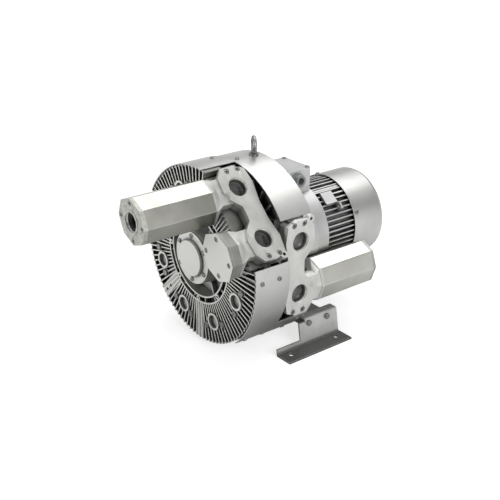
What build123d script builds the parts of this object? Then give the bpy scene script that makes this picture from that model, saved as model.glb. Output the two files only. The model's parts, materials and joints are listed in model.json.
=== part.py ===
from build123d import *
import math
import os

# Two-stage side channel blower. X points to the ports, Y from the outboard bearing to the motor fan,
# Z up. Every sub-part is drawn about the shaft: a "station" is the distance along the shaft behind the
# front cover's rim, and "normal, tangent" are the two axes of a port face turned about the shaft.

# ---- position of the shaft in the part's frame (origin: middle of the four foot holes, under the feet)
SHAFT_HEIGHT = 231.0
FRONT_Y = -205.0

# ---- stages
STAGE_1 = 51.0
STAGE_PITCH = 98.0
STAGE_2 = STAGE_1 + STAGE_PITCH
MIDDLE = (STAGE_1 + STAGE_2) / 2
CHAMBER_R = 184.0
RIM_R = 220.0
RIM_WALL = 3.5
PLATE_R = RIM_R - 6.0
PLATE = 9.0
WALL = 7.0
RIB_COUNT = 96
RIB = 3.2
RIB_FRONT = 3.0
PANEL_ANGLES = (225.0, 270.0)
PANEL_HALF = 16.0
PANEL_HOLES = (178.0, 201.0)
COVER_GROUND = 12.0
FIN_COUNT = 36

# ---- impellers
IMPELLER_R = 160.0
VANE_ROOT_R = 108.0
VANE_HALF = 16.0
POCKET_DEPTH = 13.0
VANES = 28
VANE_ANGLE = 1.6
WEB_HALF = 4.0
HUB_R = 34.0
HUB_HALF = 22.0
SIDE_GAP = 0.4
TIP_GAP = 0.4
WEB_GAP = 1.0
CHANNEL_IN_R = VANE_ROOT_R + 2
CHANNEL_OUT_R = IMPELLER_R - 2
CHANNEL_DEPTH = 15.5
STRIPPER = 30.0

# ---- shaft and its seats
NUT_SEAT_R = 17.5
JOURNAL_R = 20.0
IMPELLER_SEAT_R = 21.0
SLEEVE_R = 26.0
DRIVE_JOURNAL_R = 22.5
ROTOR_SEAT_R = 22.0
FAN_SEAT_R = 14.0
KEY_WIDTH = 12.0
KEY_HEIGHT = 8.0
RUNNING = 0.06
SEAL_OUT_R = 36.0
SEAL_WIDTH = 6.5

FRONT_SEAL_S = 21.0

# ---- bearings: bore radius, outside radius, width, balls, ball radius
SMALL_BEARING = (JOURNAL_R, 40.0, 18.0, 9, 5.9)
LARGE_BEARING = (DRIVE_JOURNAL_R, 50.0, 25.0, 8, 8.6)
BALL_GAP = 0.3
OUTBOARD_S = 2.0
DRIVE_S = 238.0
REAR_S = 434.0

# ---- port castings
PORT_PLANE = 204.0
PAD_PLANE = 166.0
PAD_HALF = 118.0
GASKET = 1.5
PORT_HALF_PITCH = 66.0
PORT_R = 22.4
PORT_BORE_LENGTH = 16.0
PORT_CHAMFER = 1.5
FLANGE_THICK = 12.0
PORT_ANGLES = {"front": 45.0, "rear": 0.0}
DUCT_OFFSET = 24.0
DUCT_WIDTH = 13.0
DUCT_LENGTH = 34.0
M8_R = 4.0
M8_CLEAR_R = 4.5
M8_HEAD_R = 6.5
PORT_BOLTS = ((109.0, -10.0), (109.0, 20.0), (-109.0, -10.0), (-109.0, 20.0))
PORT_BOLT_DEPTH = 18.0

# ---- silencers and their end pieces
TUBE_N = 160.0
TUBE_A = 49.0
TUBE_B = 57.0
TUBE_WALL = 4.0
FLANGE_INSET = 19.0
TIE_INSET = 11.0
TUBE_START = -24.0
FLARE_LEDGE = 1.5
TUBE_EDGE = 3.0
TUBE_LENGTHS = {"front": 178.0, "rear": 164.0}
CAP_THICK = 9.0
BLANK_DEPTH = 31.0

# ---- shrouds
SHEET = 2.5
SHROUD_R = RIM_R + SHEET + 5.5
TOP_SHROUD_R = RIM_R + SHEET + 1.0
FRONT_SHROUD_S = (1.0, MIDDLE - 3)
REAR_SHROUD_S = (MIDDLE - 1, STAGE_2 + 41)
FRONT_TOP_ARC = (84, 150)
FRONT_SIDE_ARC = (-49, 10)
REAR_LOWER_ARC = (-66, -36)
REAR_TOP_ARC = (35, 150)
SHROUD_POSTS_COVER = ((1.5, 18.0), (-46.0, 22.0))
SHROUD_POSTS_TOP = ((98.0, 72.0), (143.0, 72.0))
SHROUD_POSTS_MIDDLE = ((1.5, 67.0), (-46.0, 74.0))
SHROUD_POSTS_CREST = ((88.5, 114.0), (143.0, 124.0))
SHROUD_POSTS_REAR = ((-42.0, 172.0), (-60.0, 172.0))
CREST_X = 4.4
CREST_Z = -6.3
EYE_S = 164.0
EYE_ANGLE = 88.5
EYE_THREAD_R = 5.0
EYE_RING_R = 17.5
EYE_SECTION_R = 5.0
EYE_TURN = -30.0

# ---- motor
NECK_R = 124.0
NECK_END = 222.0
SPIGOT_R = 88.0
SHIELD_BOLT_R = 99.0
SHIELD_END = 277.0
SHIELD_BORE_R = 112.0
BAND_R = 119.0
BAND_END = 318.0
FRAME_R = 98.0
FIN_R = 112.0
FRAME_FINS = 52
FRAME_END = 432.0
CORE_R = 88.0
CORE_START = 322.0
CORE_END = 412.0
STATOR_BORE_R = 60.0
AIR_GAP = 0.5
SLOTS = 24
FAN_COVER_R = 116.0
FAN_COVER_SHEET = 2.0
FAN_COVER_START = 411.0
FAN_COVER_END = 516.0
BOX_ANGLE = 90.0

# ---- feet
HOLE_X = 198.0
HOLE_PITCH_Y = 146.0
HOLE_R = 6.5
FOOT_X_IN = 178.0
FOOT_X_OUT = 226.0
FOOT_FRONT = 104.0
FOOT_REAR = 306.0
FOOT_WEB_FRONT = 178.0
FOOT_WEB_REAR = 302.0
FOOT_SHEET = 5.0
FOOT_TOP = 69.0
FOOT_LEAN = 12.0
FOOT_SHELF = 24.0
FOOT_SHELF_FRONT = 198.0
FOOT_BEND = 6.0
FOOT_LIP = 18.0
FOOT_BOLTS = (208.0, 267.0)
FOOT_BOLT_HEAD_R = 7.0
BEAM_DEPTH = 20.0
SHELF_Z = FOOT_TOP - FOOT_SHEET - SHAFT_HEIGHT
FOOT_BOLT_Z = SHELF_Z - FOOT_BOLT_HEAD_R - 1.0

# ---- small fasteners
M6_R = 3.0
M6_HEAD_R = 5.5
M6_HEAD = 5.0
M10_R = 5.0
M10_HEAD_R = 8.0

parts = {}


def turned(profile):
    """Body of revolution about the shaft from (radius, station) points."""
    return revolve(make_face(Polyline(*profile, close=True)), axis=Axis.Y)


def tube(inner, outer, start, end):
    return turned([(inner, start), (outer, start), (outer, end), (inner, end)])


def rod(radius, start, end, x=0.0, z=0.0):
    """Cylinder parallel to the shaft."""
    return Pos(x, (start + end) / 2, z) * Rot(90, 0, 0) * Cylinder(radius, end - start)


def spoke(radius, inner, outer, station, tangent=0.0):
    """Cylinder standing out from the shaft along +X, to be turned to its angle."""
    return Pos((inner + outer) / 2, station, tangent) * Rot(0, 90, 0) * Cylinder(radius, outer - inner)


def block(x0, x1, y0, y1, z0, z1):
    return Pos((x0 + x1) / 2, (y0 + y1) / 2, (z0 + z1) / 2) * Box(x1 - x0, y1 - y0, z1 - z0)


def at_angle(angle, body):
    """Turn a body about the shaft, counted from +X up towards +Z."""
    return Rot(0, -angle, 0) * body


def around(count, body, first=0.0, skip=()):
    places = [first + i * 360.0 / count for i in range(count)]
    return [at_angle(a, body) for a in places if round(a % 360, 2) not in skip]


def join(base, extras):
    return base.fuse(*extras) if extras else base


def carve(base, tools):
    return base.cut(*tools) if tools else base


def solid_of(shape):
    """The single solid of a boolean result."""
    found = shape.solids()
    assert len(found) == 1, len(found)
    return found[0]


def octagon(n, t, a, b, station, corner=0.7071):
    """Octagonal face across the shaft direction, with a corner on each half axis."""
    ring = []
    for i in range(8):
        u, v = math.cos(i * math.pi / 4), math.sin(i * math.pi / 4)
        scale = corner / 0.7071 if i % 2 else 1.0
        ring.append(Vector(n + a * u * scale, station, t + b * v * scale))
    return make_face(Polyline(*ring, close=True))


def octagon_bar(n, t, a, b, start, end):
    return extrude(octagon(n, t, a, b, start), amount=end - start, dir=(0, 1, 0))


def eased(bar):
    """Octagonal bar with its eight long edges rounded."""
    return fillet(bar.edges().filter_by(Axis.Y), TUBE_EDGE)


def corner_points(n, t, a, b):
    return [(n + i * a * 0.7071, t + j * b * 0.7071) for i in (-1, 1) for j in (-1, 1)]


# ------------------------------------------------------------------ flow channels shared by the housings
def channel(face_station, direction, angle):
    """Half of a side channel, broken by the stripper between the two ports."""
    mid_r = (CHANNEL_IN_R + CHANNEL_OUT_R) / 2
    deep = face_station + direction * CHANNEL_DEPTH
    over = face_station - direction * 1.0
    arc = ThreePointArc((CHANNEL_IN_R, face_station), (mid_r, deep), (CHANNEL_OUT_R, face_station))
    mouth = Polyline((CHANNEL_OUT_R, face_station), (CHANNEL_OUT_R, over), (CHANNEL_IN_R, over),
                     (CHANNEL_IN_R, face_station))
    sweep = revolve(make_face([arc, mouth]), axis=Axis.Y, revolution_arc=360 - STRIPPER)
    return at_angle(angle - STRIPPER / 2, sweep)


def impeller_room(stage):
    """Running space of one impeller: vaned ring, thin web and hub."""
    web = WEB_HALF + WEB_GAP
    ring = VANE_HALF + SIDE_GAP
    inner = VANE_ROOT_R - 0.5
    hub = HUB_HALF + WEB_GAP
    profile = [(SEAL_OUT_R + 2, stage - hub), (SEAL_OUT_R + 2, stage - web), (inner, stage - web),
               (inner, stage - ring), (IMPELLER_R + TIP_GAP, stage - ring),
               (IMPELLER_R + TIP_GAP, stage + ring), (inner, stage + ring), (inner, stage + web),
               (SEAL_OUT_R + 2, stage + web), (SEAL_OUT_R + 2, stage + hub), (0, stage + hub),
               (0, stage - hub)]
    return turned(profile)


def port_ducts(angle, station):
    """Two slots from the channel out to the port pad."""
    slot = block(140, PAD_PLANE + 1, station - DUCT_WIDTH / 2, station + DUCT_WIDTH / 2,
                 PORT_HALF_PITCH - DUCT_LENGTH / 2, PORT_HALF_PITCH + DUCT_LENGTH / 2)
    return [at_angle(angle, slot), at_angle(angle, mirror(slot, Plane.XY))]


def port_pad(angle, start, end):
    return at_angle(angle, block(PAD_PLANE - 38, PAD_PLANE, start, end, -PAD_HALF, PAD_HALF))


def port_clearance(angle, start, end):
    """Everything outside the port pad is cut back so the port casting can sit there."""
    clear = PAD_HALF + 10
    return at_angle(angle, block(PAD_PLANE, RIM_R + 20, start, end, -clear, clear))


def port_bolt_rods(side, radius, inner, outer):
    """Rods on the port casting's bolt axes; the rear casting is the front one turned end for end."""
    stage, flip = (STAGE_1, 1) if side == "front" else (STAGE_2, -1)
    rods = [spoke(radius, inner, outer, stage + flip * s, flip * t) for t, s in PORT_BOLTS]
    return [at_angle(PORT_ANGLES[side], r) for r in rods]


def port_bolt_holes(side, radius):
    return port_bolt_rods(side, radius, PAD_PLANE - PORT_BOLT_DEPTH, PAD_PLANE + 1)


def shroud_posts(places, outer=SHROUD_R):
    return [at_angle(a, spoke(9, CHAMBER_R - 4, outer - SHEET - 0.3, s)) for a, s in places]


def shroud_post_holes(places, radius=M6_R, depth=16.0, outer=SHROUD_R):
    return [at_angle(a, spoke(radius, outer - depth, outer + 1, s)) for a, s in places]


def upright(radius, low, high, x, station):
    return Pos(x, station, (low + high) / 2) * Cylinder(radius, high - low)


def crest(bodies):
    """Bodies of the rear top shroud, whose arc has its centre below and to the right of the shaft."""
    return [Pos(CREST_X, 0, CREST_Z) * body for body in bodies]


BACK_S = STAGE_2 + VANE_HALF + SIDE_GAP + CHANNEL_DEPTH + WALL
MOTOR_SEAL_END = BACK_S + 8.0
BOLT_R = 174.0
BOLT_STEP = 22.5
BOLT_FIRST = 11.25


def joint_bolt_angles(angle):
    """Joint bolts stand all round except where the port pad cuts their circle."""
    angles = [BOLT_FIRST + BOLT_STEP * i for i in range(16)]
    return [a for a in angles if abs((a - angle + 180) % 360 - 180) > BOLT_STEP]


def joint_holes(angle, radius, start, end):
    return [at_angle(a, rod(radius, start, end, x=BOLT_R)) for a in joint_bolt_angles(angle)]


# ------------------------------------------------------------------ blower castings
BOSS_R_AT = 163.0
BOSS_R = 22.0
BOSS_BORE_R = 16.5
BOSS_SKIP = (22.5, 67.5)
BOLT_PAD_S = 5.0
RING_IN = (101.0, 105.0)
RING_OUT = (117.0, 121.0)
HUB_FACE = -8.0
HUB_OUT_R = 66.0
CAP_SCREW_R = 56.0
SEAT_OUT_R = SMALL_BEARING[1]


def front_cover():
    body = turned([(SEAT_OUT_R, HUB_FACE), (HUB_OUT_R, HUB_FACE), (HUB_OUT_R + 3, 34), (RING_IN[0] - 2, 37),
                   (RING_IN[0], 2), (RING_IN[1], 2), (RING_IN[1], 22), (RING_OUT[0], 22), (RING_OUT[0], 2),
                   (RING_OUT[1], 2), (RING_OUT[1], COVER_GROUND), (CHAMBER_R, COVER_GROUND),
                   (CHAMBER_R, STAGE_1 - PLATE), (RIM_R - RIM_WALL, STAGE_1 - PLATE),
                   (RIM_R - RIM_WALL, RIB_FRONT + 3), (RIM_R, RIB_FRONT + 3), (RIM_R, STAGE_1),
                   (SEAL_OUT_R, STAGE_1), (SEAL_OUT_R, FRONT_SEAL_S), (SEAT_OUT_R - 6, FRONT_SEAL_S),
                   (SEAT_OUT_R - 6, FRONT_SEAL_S - 1), (SEAT_OUT_R, FRONT_SEAL_S - 1)])
    rib = block(RING_OUT[0] + 2, RIM_R, RIB_FRONT, STAGE_1 - PLATE + 1, -RIB / 2, RIB / 2)
    panel = block(RING_OUT[0] + 2, RIM_R - 1, RIB_FRONT + 1.5, STAGE_1 - PLATE + 1, -PANEL_HALF, PANEL_HALF)
    inner_web = block(HUB_OUT_R + 1, RING_IN[0] + 1, 20, 38, -2.5, 2.5)
    ring_web = block(RING_IN[0] + 1, RING_OUT[1] - 1, 7, 23, -2.0, 2.0)
    screw_boss = rod(6.5, 1.0, 23, x=(RING_IN[1] + RING_OUT[0]) / 2)
    boss = rod(BOSS_R, -1.0, COVER_GROUND + 1, x=BOSS_R_AT)
    bolt_pad = rod(M10_HEAD_R + 1.5, BOLT_PAD_S, COVER_GROUND + 1, x=BOLT_R)
    body = join(body, around(RIB_COUNT, rib) + around(8, inner_web, 22.5) + around(16, ring_web, 11.25)
                + around(8, screw_boss) + around(8, boss, 22.5, BOSS_SKIP)
                + [at_angle(a, bolt_pad) for a in joint_bolt_angles(PORT_ANGLES["front"])]
                + [at_angle(a, panel) for a in PANEL_ANGLES])
    body = join(body, [port_pad(PORT_ANGLES["front"], COVER_GROUND - 4, STAGE_1)]
                + shroud_posts(SHROUD_POSTS_COVER))
    tools = around(8, rod(BOSS_BORE_R, -3, COVER_GROUND - 2.5, x=BOSS_R_AT), 22.5, BOSS_SKIP)
    tools += joint_holes(PORT_ANGLES["front"], M10_HEAD_R + 1.5, -6, BOLT_PAD_S)
    tools += around(8, rod(M6_R, 0, 14, x=(RING_IN[1] + RING_OUT[0]) / 2))
    tools += [at_angle(PANEL_ANGLES[0], rod(M10_R - 0.8, 0, 14, x=r)) for r in PANEL_HOLES]
    tools += joint_holes(PORT_ANGLES["front"], M10_R + 0.5, 0, STAGE_1 + 1)
    tools += [impeller_room(STAGE_1), channel(STAGE_1 - VANE_HALF - SIDE_GAP, -1, PORT_ANGLES["front"]),
              port_clearance(PORT_ANGLES["front"], -6, STAGE_1 + 5)]
    tools += around(6, rod(M6_R, HUB_FACE - 1, HUB_FACE + 16, x=CAP_SCREW_R), 30)
    tools += shroud_post_holes(SHROUD_POSTS_COVER) + port_bolt_holes("front", M8_R)
    return solid_of(carve(body, tools))


def middle_housing():
    gap = 10.0
    half = [(SLEEVE_R + 2, STAGE_1), (PLATE_R, STAGE_1), (PLATE_R, STAGE_1 + PLATE),
            (CHAMBER_R, STAGE_1 + PLATE), (CHAMBER_R, MIDDLE - gap - 6), (PLATE_R, MIDDLE - gap - 6),
            (PLATE_R, MIDDLE - gap), (54, MIDDLE - gap), (54, MIDDLE), (SLEEVE_R + 2, MIDDLE)]
    body = turned(half)
    body = join(body, [mirror(body, Plane(origin=(0, MIDDLE, 0), z_dir=(0, 1, 0)))])
    fin = block(CHAMBER_R - 2, PLATE_R, STAGE_1 + PLATE - 1, STAGE_2 - PLATE + 1, -2, 2)
    body = join(body, around(FIN_COUNT, fin, 5.0))
    bosses = [(PORT_ANGLES["front"], STAGE_1, MIDDLE - 2), (PORT_ANGLES["rear"], MIDDLE + 2, STAGE_2)]
    body = join(body, [port_pad(*b) for b in bosses])
    body = join(body, shroud_posts(SHROUD_POSTS_MIDDLE) + shroud_posts(SHROUD_POSTS_TOP, TOP_SHROUD_R)
                + crest(shroud_posts(SHROUD_POSTS_CREST)))
    tools = [rod(SEAL_OUT_R, MIDDLE - SEAL_WIDTH / 2, STAGE_2 - HUB_HALF), impeller_room(STAGE_1),
             impeller_room(STAGE_2)]
    tools += [channel(STAGE_1 + VANE_HALF + SIDE_GAP, 1, PORT_ANGLES["front"]),
              channel(STAGE_2 - VANE_HALF - SIDE_GAP, -1, PORT_ANGLES["rear"])]
    tools += port_ducts(PORT_ANGLES["front"], STAGE_1 + DUCT_OFFSET)
    tools += port_ducts(PORT_ANGLES["rear"], STAGE_2 - DUCT_OFFSET)
    tools += [port_clearance(PORT_ANGLES["front"], STAGE_1 - 5, MIDDLE + 1),
              port_clearance(PORT_ANGLES["rear"], MIDDLE - 1, STAGE_2 + 5)]
    tools += joint_holes(PORT_ANGLES["front"], M10_R, STAGE_1 - 1, STAGE_1 + 22)
    tools += joint_holes(PORT_ANGLES["rear"], M10_R, STAGE_2 - 22, STAGE_2 + 1)
    tools += port_bolt_holes("front", M8_R) + port_bolt_holes("rear", M8_R)
    tools += shroud_post_holes(SHROUD_POSTS_MIDDLE)
    tools += shroud_post_holes(SHROUD_POSTS_TOP, outer=TOP_SHROUD_R)
    tools += crest(shroud_post_holes(SHROUD_POSTS_CREST))
    return solid_of(carve(body, tools))


def rear_housing():
    back = BACK_S
    body = turned([(SLEEVE_R + 2, STAGE_2), (PLATE_R, STAGE_2), (PLATE_R, STAGE_2 + PLATE),
                   (CHAMBER_R, STAGE_2 + PLATE), (CHAMBER_R, back), (VANE_ROOT_R + 6, back),
                   (NECK_R - 8, back + 12), (NECK_R, NECK_END - 12), (NECK_R, NECK_END),
                   (SPIGOT_R, NECK_END), (SPIGOT_R, NECK_END - 14), (NECK_R - 22, NECK_END - 18),
                   (NECK_R - 24, back), (NECK_R - 26, back - 18), (50, back - 18), (46, MOTOR_SEAL_END),
                   (SLEEVE_R + 2, MOTOR_SEAL_END)])
    rib = block(NECK_R - 12, PLATE_R, STAGE_2 + PLATE - 1, back + 2, -2, 2)
    stay = block(44, NECK_R - 14, back - 8, back + 8, -3, 3)
    body = join(body, around(FIN_COUNT, rib, 5.0) + around(8, stay, 22.5))
    body = join(body, [port_pad(PORT_ANGLES["rear"], STAGE_2, back)])
    foot_web = block(-70, 70, FOOT_SHELF_FRONT + 2, NECK_END - 1, SHELF_Z - 1, -NECK_R + 16)
    eye_post = at_angle(EYE_ANGLE, spoke(14, CHAMBER_R - 4, SHROUD_R - SHEET - 0.6, EYE_S))
    body = join(body, [foot_beam(), foot_web] + crest([eye_post]) + shroud_posts(SHROUD_POSTS_REAR))
    tools = [impeller_room(STAGE_2), channel(STAGE_2 + VANE_HALF + SIDE_GAP, 1, PORT_ANGLES["rear"]),
             port_clearance(PORT_ANGLES["rear"], STAGE_2 - 5, back + 12),
             rod(SEAL_OUT_R, MOTOR_SEAL_END - SEAL_WIDTH, MOTOR_SEAL_END + 1)]
    tools += joint_holes(PORT_ANGLES["rear"], M10_R + 0.5, STAGE_2 - 1, back + 4)
    tools += joint_holes(PORT_ANGLES["rear"], M10_HEAD_R + 1.5, back, back + 20)
    tools += port_bolt_holes("rear", M8_R) + shroud_post_holes(SHROUD_POSTS_REAR)
    tools += crest([at_angle(EYE_ANGLE, spoke(EYE_THREAD_R, SHROUD_R - 24, SHROUD_R, EYE_S))])
    tools += foot_bolt_rods(M8_R, -FOOT_SHEET - 18, 0)
    tools += around(6, rod(M8_R, NECK_END - 16, NECK_END + 1, x=SHIELD_BOLT_R), 30)
    return solid_of(carve(body, tools))


# ------------------------------------------------------------------ rotating parts
def impeller(stage):
    body = turned([(IMPELLER_SEAT_R, stage - HUB_HALF), (HUB_R, stage - HUB_HALF),
                   (HUB_R + 4, stage - WEB_HALF), (VANE_ROOT_R, stage - WEB_HALF),
                   (VANE_ROOT_R, stage - VANE_HALF), (IMPELLER_R, stage - VANE_HALF),
                   (IMPELLER_R, stage + VANE_HALF), (VANE_ROOT_R, stage + VANE_HALF),
                   (VANE_ROOT_R, stage + WEB_HALF), (HUB_R + 4, stage + WEB_HALF),
                   (HUB_R, stage + HUB_HALF), (IMPELLER_SEAT_R, stage + HUB_HALF)])
    tools = []
    for side in (-1, 1):
        top = stage + side * (VANE_HALF + 1)
        low = stage + side * (VANE_HALF - POCKET_DEPTH)
        mid = stage + side * (VANE_HALF - POCKET_DEPTH / 2)
        section = [(VANE_ROOT_R + 4, top), (VANE_ROOT_R + 5, mid), (VANE_ROOT_R + 16, low),
                   (IMPELLER_R - 12, low), (IMPELLER_R + 1, mid), (IMPELLER_R + 1, top)]
        face = make_face(Polyline(*section, close=True))
        pocket = revolve(face, axis=Axis.Y, revolution_arc=360 / VANES - VANE_ANGLE)
        tools += around(VANES, pocket, first=side * 90 / VANES)
    tools += around(6, rod(9, stage - WEB_HALF - 1, stage + WEB_HALF + 1, x=72), 15)
    tools.append(key_slot(stage))
    return solid_of(carve(body, tools))


def key_slot(stage):
    """Keyway in hub and shaft, one height for the key between them."""
    return block(-KEY_WIDTH / 2, KEY_WIDTH / 2, stage - HUB_HALF - 1, stage + HUB_HALF + 1,
                 IMPELLER_SEAT_R - KEY_HEIGHT / 2, IMPELLER_SEAT_R + KEY_HEIGHT / 2)


def impeller_keys():
    key = block(-KEY_WIDTH / 2, KEY_WIDTH / 2, -HUB_HALF + 2, HUB_HALF - 2,
                IMPELLER_SEAT_R - KEY_HEIGHT / 2, IMPELLER_SEAT_R + KEY_HEIGHT / 2)
    return Compound(children=[Pos(0, s, 0) * key for s in (STAGE_1, STAGE_2)])


NUT_LENGTH = 12.0
ROTOR_END_RING = 8.0
FAN_S = 460.0
FAN_HUB = 28.0


def shaft():
    hub_2_end = STAGE_2 + HUB_HALF
    rear_end = REAR_S + SMALL_BEARING[2]
    body = turned([(0, OUTBOARD_S - NUT_LENGTH - 2), (NUT_SEAT_R - 1, OUTBOARD_S - NUT_LENGTH - 2),
                   (NUT_SEAT_R, OUTBOARD_S - NUT_LENGTH - 1), (NUT_SEAT_R, OUTBOARD_S),
                   (JOURNAL_R, OUTBOARD_S), (JOURNAL_R, STAGE_1 - HUB_HALF),
                   (IMPELLER_SEAT_R, STAGE_1 - HUB_HALF), (IMPELLER_SEAT_R, hub_2_end),
                   (SLEEVE_R, hub_2_end), (SLEEVE_R, DRIVE_S), (DRIVE_JOURNAL_R, DRIVE_S),
                   (DRIVE_JOURNAL_R, DRIVE_S + LARGE_BEARING[2]), (ROTOR_SEAT_R, DRIVE_S + LARGE_BEARING[2]),
                   (ROTOR_SEAT_R, CORE_END + 8), (ROTOR_SEAT_R - 0.5, REAR_S), (JOURNAL_R, REAR_S),
                   (JOURNAL_R, rear_end), (FAN_SEAT_R, rear_end + 2), (FAN_SEAT_R, FAN_S + FAN_HUB + 2),
                   (0, FAN_S + FAN_HUB + 2)])
    slots = [block(-KEY_WIDTH / 2, KEY_WIDTH / 2, s - HUB_HALF + 2, s + HUB_HALF - 2,
                   IMPELLER_SEAT_R - KEY_HEIGHT / 2, IMPELLER_SEAT_R + 5) for s in (STAGE_1, STAGE_2)]
    return solid_of(carve(body, slots))


def front_distance_collar():
    return tube(JOURNAL_R, SLEEVE_R, OUTBOARD_S + SMALL_BEARING[2], STAGE_1 - HUB_HALF)


def impeller_spacer():
    return tube(IMPELLER_SEAT_R, SLEEVE_R, STAGE_1 + HUB_HALF, STAGE_2 - HUB_HALF)


def shaft_lock_nut():
    body = tube(NUT_SEAT_R, 25.5, OUTBOARD_S - NUT_LENGTH, OUTBOARD_S)
    slot = block(22.5, 27, OUTBOARD_S - NUT_LENGTH - 1, OUTBOARD_S + 1, -3, 3)
    return solid_of(carve(body, around(4, slot)))


def bearing_pieces(sizes, start):
    """Deep-groove ball bearing: outer ring, inner ring, cage and balls."""
    bore, outside, width, count, ball_r = sizes
    pitch = (bore + outside) / 2
    mid = start + width / 2
    land = ball_r * 0.42
    groove = Pos(0, mid, 0) * Rot(90, 0, 0) * Torus(pitch, ball_r + BALL_GAP)
    outer = solid_of(tube(pitch + land + 0.6, outside, start, start + width) - groove)
    inner = solid_of(tube(bore, pitch - land - 0.6, start, start + width) - groove)
    half_cage = ball_r + 1.5
    cage = tube(pitch - land * 0.6, pitch + land * 0.6, mid - half_cage, mid + half_cage)
    pocket = spoke(ball_r + 0.15, pitch - land, pitch + land, mid)
    cage = solid_of(carve(cage, around(count, pocket)))
    balls = Compound(children=around(count, Pos(pitch, mid, 0) * Sphere(ball_r)))
    return {"outer_ring": outer, "inner_ring": inner, "cage": cage, "balls": balls}


def shaft_seals():
    stations = (FRONT_SEAL_S, MIDDLE - SEAL_WIDTH / 2, MOTOR_SEAL_END - SEAL_WIDTH)
    return Compound(children=[tube(SLEEVE_R + RUNNING, SEAL_OUT_R, s, s + SEAL_WIDTH) for s in stations])


def rotor_core():
    outer = STATOR_BORE_R - AIR_GAP
    body = tube(ROTOR_SEAT_R, outer, CORE_START, CORE_END)
    rings = [tube(outer - 16, outer - 3, CORE_START - ROTOR_END_RING, CORE_START),
             tube(outer - 16, outer - 3, CORE_END, CORE_END + ROTOR_END_RING)]
    return solid_of(join(body, rings))


def cooling_fan():
    hub = tube(FAN_SEAT_R, FAN_SEAT_R + 10, FAN_S, FAN_S + FAN_HUB)
    disc = turned([(FAN_SEAT_R + 9, FAN_S), (60, FAN_S), (98, FAN_S + 4), (98, FAN_S + 7),
                   (60, FAN_S + 3), (FAN_SEAT_R + 9, FAN_S + 3)])
    blade = block(38, 98, FAN_S + 2, FAN_S + FAN_HUB - 2, -1.5, 1.5)
    return solid_of(join(hub, [disc] + around(8, blade)))


# ------------------------------------------------------------------ outboard bearing cap
def bearing_cap():
    face = HUB_FACE
    body = turned([(0, face - 14), (44, face - 14), (47, face - 11), (47, face - 6), (HUB_OUT_R - 1, face - 6),
                   (HUB_OUT_R - 1, face), (SEAT_OUT_R, face), (SEAT_OUT_R, OUTBOARD_S),
                   (SEAT_OUT_R - 6, OUTBOARD_S), (SEAT_OUT_R - 6, face - 9), (0, face - 9)])
    return solid_of(carve(body, around(6, rod(M6_R + 0.4, face - 8, face + 1, x=CAP_SCREW_R), 30)))


# ------------------------------------------------------------------ port castings and silencers
OUTLINE_HALF = ((18, -13), (42, -36), (60, -43), (98, -40), (118, -24), (120, 12), (108, 38), (70, 44),
                (22, 36))


def port_face(inset=0.0, normal=0.0):
    """Figure-8 outline of the port flange, drawn as (station, tangent)."""
    ring = [(s, t) for t, s in OUTLINE_HALF] + [(s, -t) for t, s in reversed(OUTLINE_HALF)]
    face = make_face(Polyline(*ring, close=True))
    if inset:
        face = offset(face, amount=-inset, kind=Kind.INTERSECTION)
    return Plane(origin=(normal, 0, 0), x_dir=(0, 1, 0), z_dir=(1, 0, 0)) * face


NECK_N = 184.0
NECK_A = 15.5
NECK_B = 35.0
NECK_START = -28.0
NECK_FLARE = -STAGE_1 - 4
FLANGE_STEP = 6.0


def neck(t, shrink, opening):
    """Duct leaving one lobe towards the silencer and widening to its octagonal flange."""
    end = TUBE_START - STAGE_1
    slim = octagon(NECK_N, t, NECK_A - shrink, NECK_B - shrink, NECK_START, corner=0.93)
    straight = extrude(slim, amount=NECK_START - NECK_FLARE, dir=(0, -1, 0))
    slim_end = octagon(NECK_N, t, NECK_A - shrink, NECK_B - shrink, NECK_FLARE, corner=0.93)
    ledge = shrink or FLARE_LEDGE
    wide = octagon(TUBE_N, t, TUBE_A - ledge, TUBE_B - ledge, end + FLANGE_STEP)
    flare = loft([slim_end, wide], ruled=True)
    flange = octagon_bar(TUBE_N, t, TUBE_A - opening, TUBE_B - opening, end - (1 if opening else 0),
                         end + FLANGE_STEP + (1 if opening else 0))
    return [straight, flare, flange if opening else eased(flange)]


EAR_T = 116.0
EAR_S = 30.0


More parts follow.
